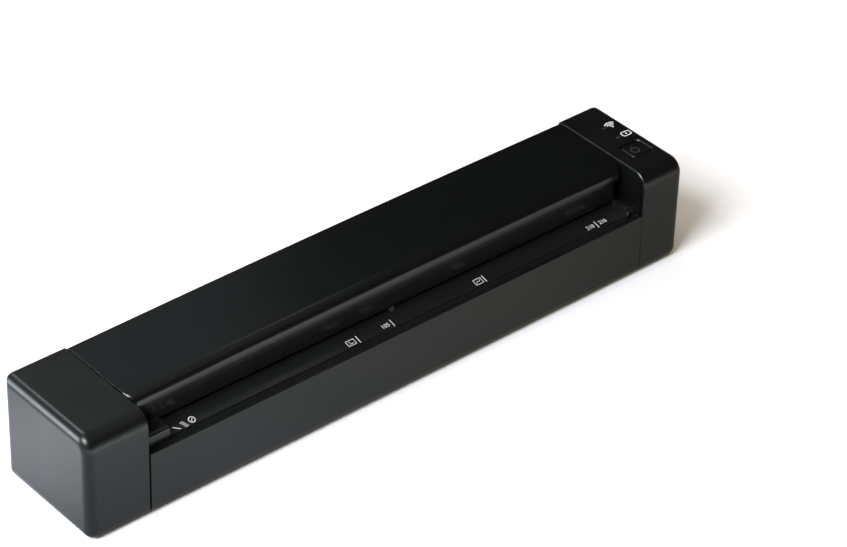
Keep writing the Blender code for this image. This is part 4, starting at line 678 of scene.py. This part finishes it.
def area_light(name, place, aim, width, height, power, colour):
    """A soft lamp of that size and power, turned to its aim and unseen by the camera."""
    data = bpy.data.lights.new(name, "AREA")
    data.shape = "RECTANGLE"
    data.size = width
    data.size_y = height
    data.energy = power
    data.color = colour
    made = bpy.data.objects.new(name, data)
    bpy.context.scene.collection.objects.link(made)
    made.location = place
    made.rotation_euler = (Vector(aim) - Vector(place)).to_track_quat("-Z", "Y").to_euler()
    made.visible_camera = False


# The floor's own colour, and the one the camera sees
FLOOR_SIZE = 8.0
FLOOR_COLOUR = (0.80, 0.80, 0.79)
FLOOR_SHOWN = (1.00, 1.02, 1.10)

# What reflections see of the floor, all painted light and shade: its colours at places along the
# body, the painted brightening further in front, and a painted pool of light and a patch of
# painted shade: centre, start of the fading, end of it and colour
PAINTED_LIGHT_STOPS = (
    (-0.160, (0.44, 0.49, 0.53)),
    (-0.075, (0.60, 0.68, 0.74)),
    (-0.030, (0.52, 0.57, 0.61)),
    (0.025, (0.49, 0.51, 0.52)),
    (0.080, (0.47, 0.48, 0.48)),
    (0.155, (0.34, 0.35, 0.35)),
)
FRONT_START = -0.075
FRONT_END = -0.170
PAINTED_FRONT_GAIN = 3.0
PAINTED_POOL_AND_SHADE = (
    ((-0.177, 0.036, 0.0), 0.010, 0.075, (1.30, 1.40, 1.56)),
    ((-0.172, -0.050, 0.0), 0.012, 0.048, (0.38, 0.40, 0.43)),
)

# The room's fill on the object, and what reflections see of the room: a dark colour and the glows,
# each with its way, the cosines to that way where it starts and where it is full, and its colour
WHITE = (1.0, 1.0, 1.0)
ROOM_FILL = (0.34, 0.27, 0.165)
ROOM_DARK = (0.012, 0.012, 0.012)
ROOM_GLOWS = (
    ((-0.85, 0.45, 0.25), 0.1, 1.0, (0.16, 0.18, 0.20)),
    ((0.56, -0.83, -0.12), 0.972, 0.992, (2.20, 2.22, 2.25)),
)

# Colours of the lamps for daylight
COOL = (0.92, 0.96, 1.0)
SKY = (0.86, 0.96, 1.0)

# Lamps: name, place, aim, width, height, power and colour
LAMPS = (
    ("key", (-1.12, -0.25, 1.22), (0, 0, 0.02), 0.75, 0.75, 34.0, (0.97, 0.99, 1.0)),
    ("back_window", (-0.05, 0.90, 1.20), (-0.05, 0, 0.03), 0.5, 0.25, 2.0, COOL),
    ("left_window", (-0.75, 0.49, 0.20), (-0.145, 0, 0.04), 0.34, 0.38, 5.0, (0.88, 0.95, 1.0)),
    ("top_glow", (0.09, 0.44, 0.42), (-0.13, 0, 0.045), 0.34, 0.30, 0.075, SKY),
    ("ceiling_glow", (0.10, -0.10, 0.60), (0.10, -0.10, 0), 0.42, 0.85, 0.28, SKY),
    ("crease_glow", (0.10, 0.11, 0.29), (-0.085, -0.017, 0.029), 0.10, 0.05, 0.010, WHITE),
    ("rim_line", (-0.09, 0.305, 0.436), (-0.141, 0, 0.046), 0.03, 0.22, 0.16, WHITE),
)


def floor():
    """A plain pale floor, white to the camera.

    Reflections see painted light and shade instead: a painted shade along the body that grows
    brighter further in front, a painted pool of light at the left end and a patch of painted shade
    in front of that.
    """
    half = FLOOR_SIZE / 2
    corners = [(-half, -half, 0), (half, -half, 0), (half, half, 0), (-half, half, 0)]
    mesh = bpy.data.meshes.new("floor")
    mesh.from_pydata(corners, [], [(0, 1, 2, 3)])
    made = Shader("floor")
    rays = made.add("ShaderNodeLightPath").outputs
    sides = made.add("ShaderNodeSeparateXYZ")
    made.feed(sides.inputs[0], made.place)
    # The colour reflections see on the floor is painted light and shade: set along the body,
    # brighter further in front, with a painted pool of light and a patch of painted shade
    painted_gain = made.between(sides.outputs["Y"], FRONT_END, FRONT_START, PAINTED_FRONT_GAIN, 1.0)
    painted_reflection = made.scaled(made.ramp(sides.outputs["X"], PAINTED_LIGHT_STOPS), painted_gain)
    for centre, start, end, painted_spot in PAINTED_POOL_AND_SHADE:
        away = made.against(made.place, centre, "DISTANCE")
        painted_reflection = made.mix(made.between(away, start, end), painted_spot, painted_reflection)
    glossy = made.joined(rays["Is Glossy Ray"], rays["Is Transmission Ray"], "MAXIMUM")
    shown = made.mix(rays["Is Camera Ray"], FLOOR_COLOUR, FLOOR_SHOWN)
    colour = made.mix(glossy, shown, painted_reflection)
    diffuse = made.add("ShaderNodeBsdfDiffuse")
    made.feed(diffuse.inputs["Color"], colour)
    made.feed(made.nodes["Material Output"].inputs["Surface"], diffuse.outputs[0])
    made.nodes.remove(made.shader)
    mesh.materials.append(made.material)
    plane = bpy.data.objects.new("floor", mesh)
    bpy.context.scene.collection.objects.link(plane)


def world():
    """White to the camera and a warm fill to the object. Reflections see two glows in the dark."""
    made = bpy.data.worlds.new("world")
    bpy.context.scene.world = made
    made.use_nodes = True
    tree = Tree(made.node_tree)
    tree.nodes.clear()
    rays = tree.add("ShaderNodeLightPath").outputs
    way = tree.add("ShaderNodeTexCoord").outputs["Generated"]
    colour = ROOM_DARK
    for toward, start, full, glow in ROOM_GLOWS:
        facing = tree.against(way, Vector(toward).normalized(), "DOT_PRODUCT")
        colour = tree.mix(tree.between(facing, start, full), colour, glow)
    colour = tree.mix(rays["Is Diffuse Ray"], colour, ROOM_FILL)
    colour = tree.mix(rays["Is Camera Ray"], colour, WHITE)
    background = tree.add("ShaderNodeBackground")
    tree.feed(background.inputs["Color"], colour)
    tree.feed(tree.add("ShaderNodeOutputWorld").inputs["Surface"], background.outputs[0])


def lights():
    """A soft key from the left, and small soft lamps whose reflections draw the edges."""
    for lamp in LAMPS:
        area_light(*lamp)


camera()
dress_nodes()
WHITE_INK = print_ink("print_white", (0.80, 0.81, 0.82), (0.55, 0.56, 0.57))
print_ledge(WHITE_INK)
GREY_INK = print_ink("print_grey", (0.045, 0.047, 0.050), (0.030, 0.031, 0.033))
print_cap(WHITE_INK, GREY_INK)
floor()
world()
lights()
bpy.context.scene.view_settings.view_transform = "Standard"
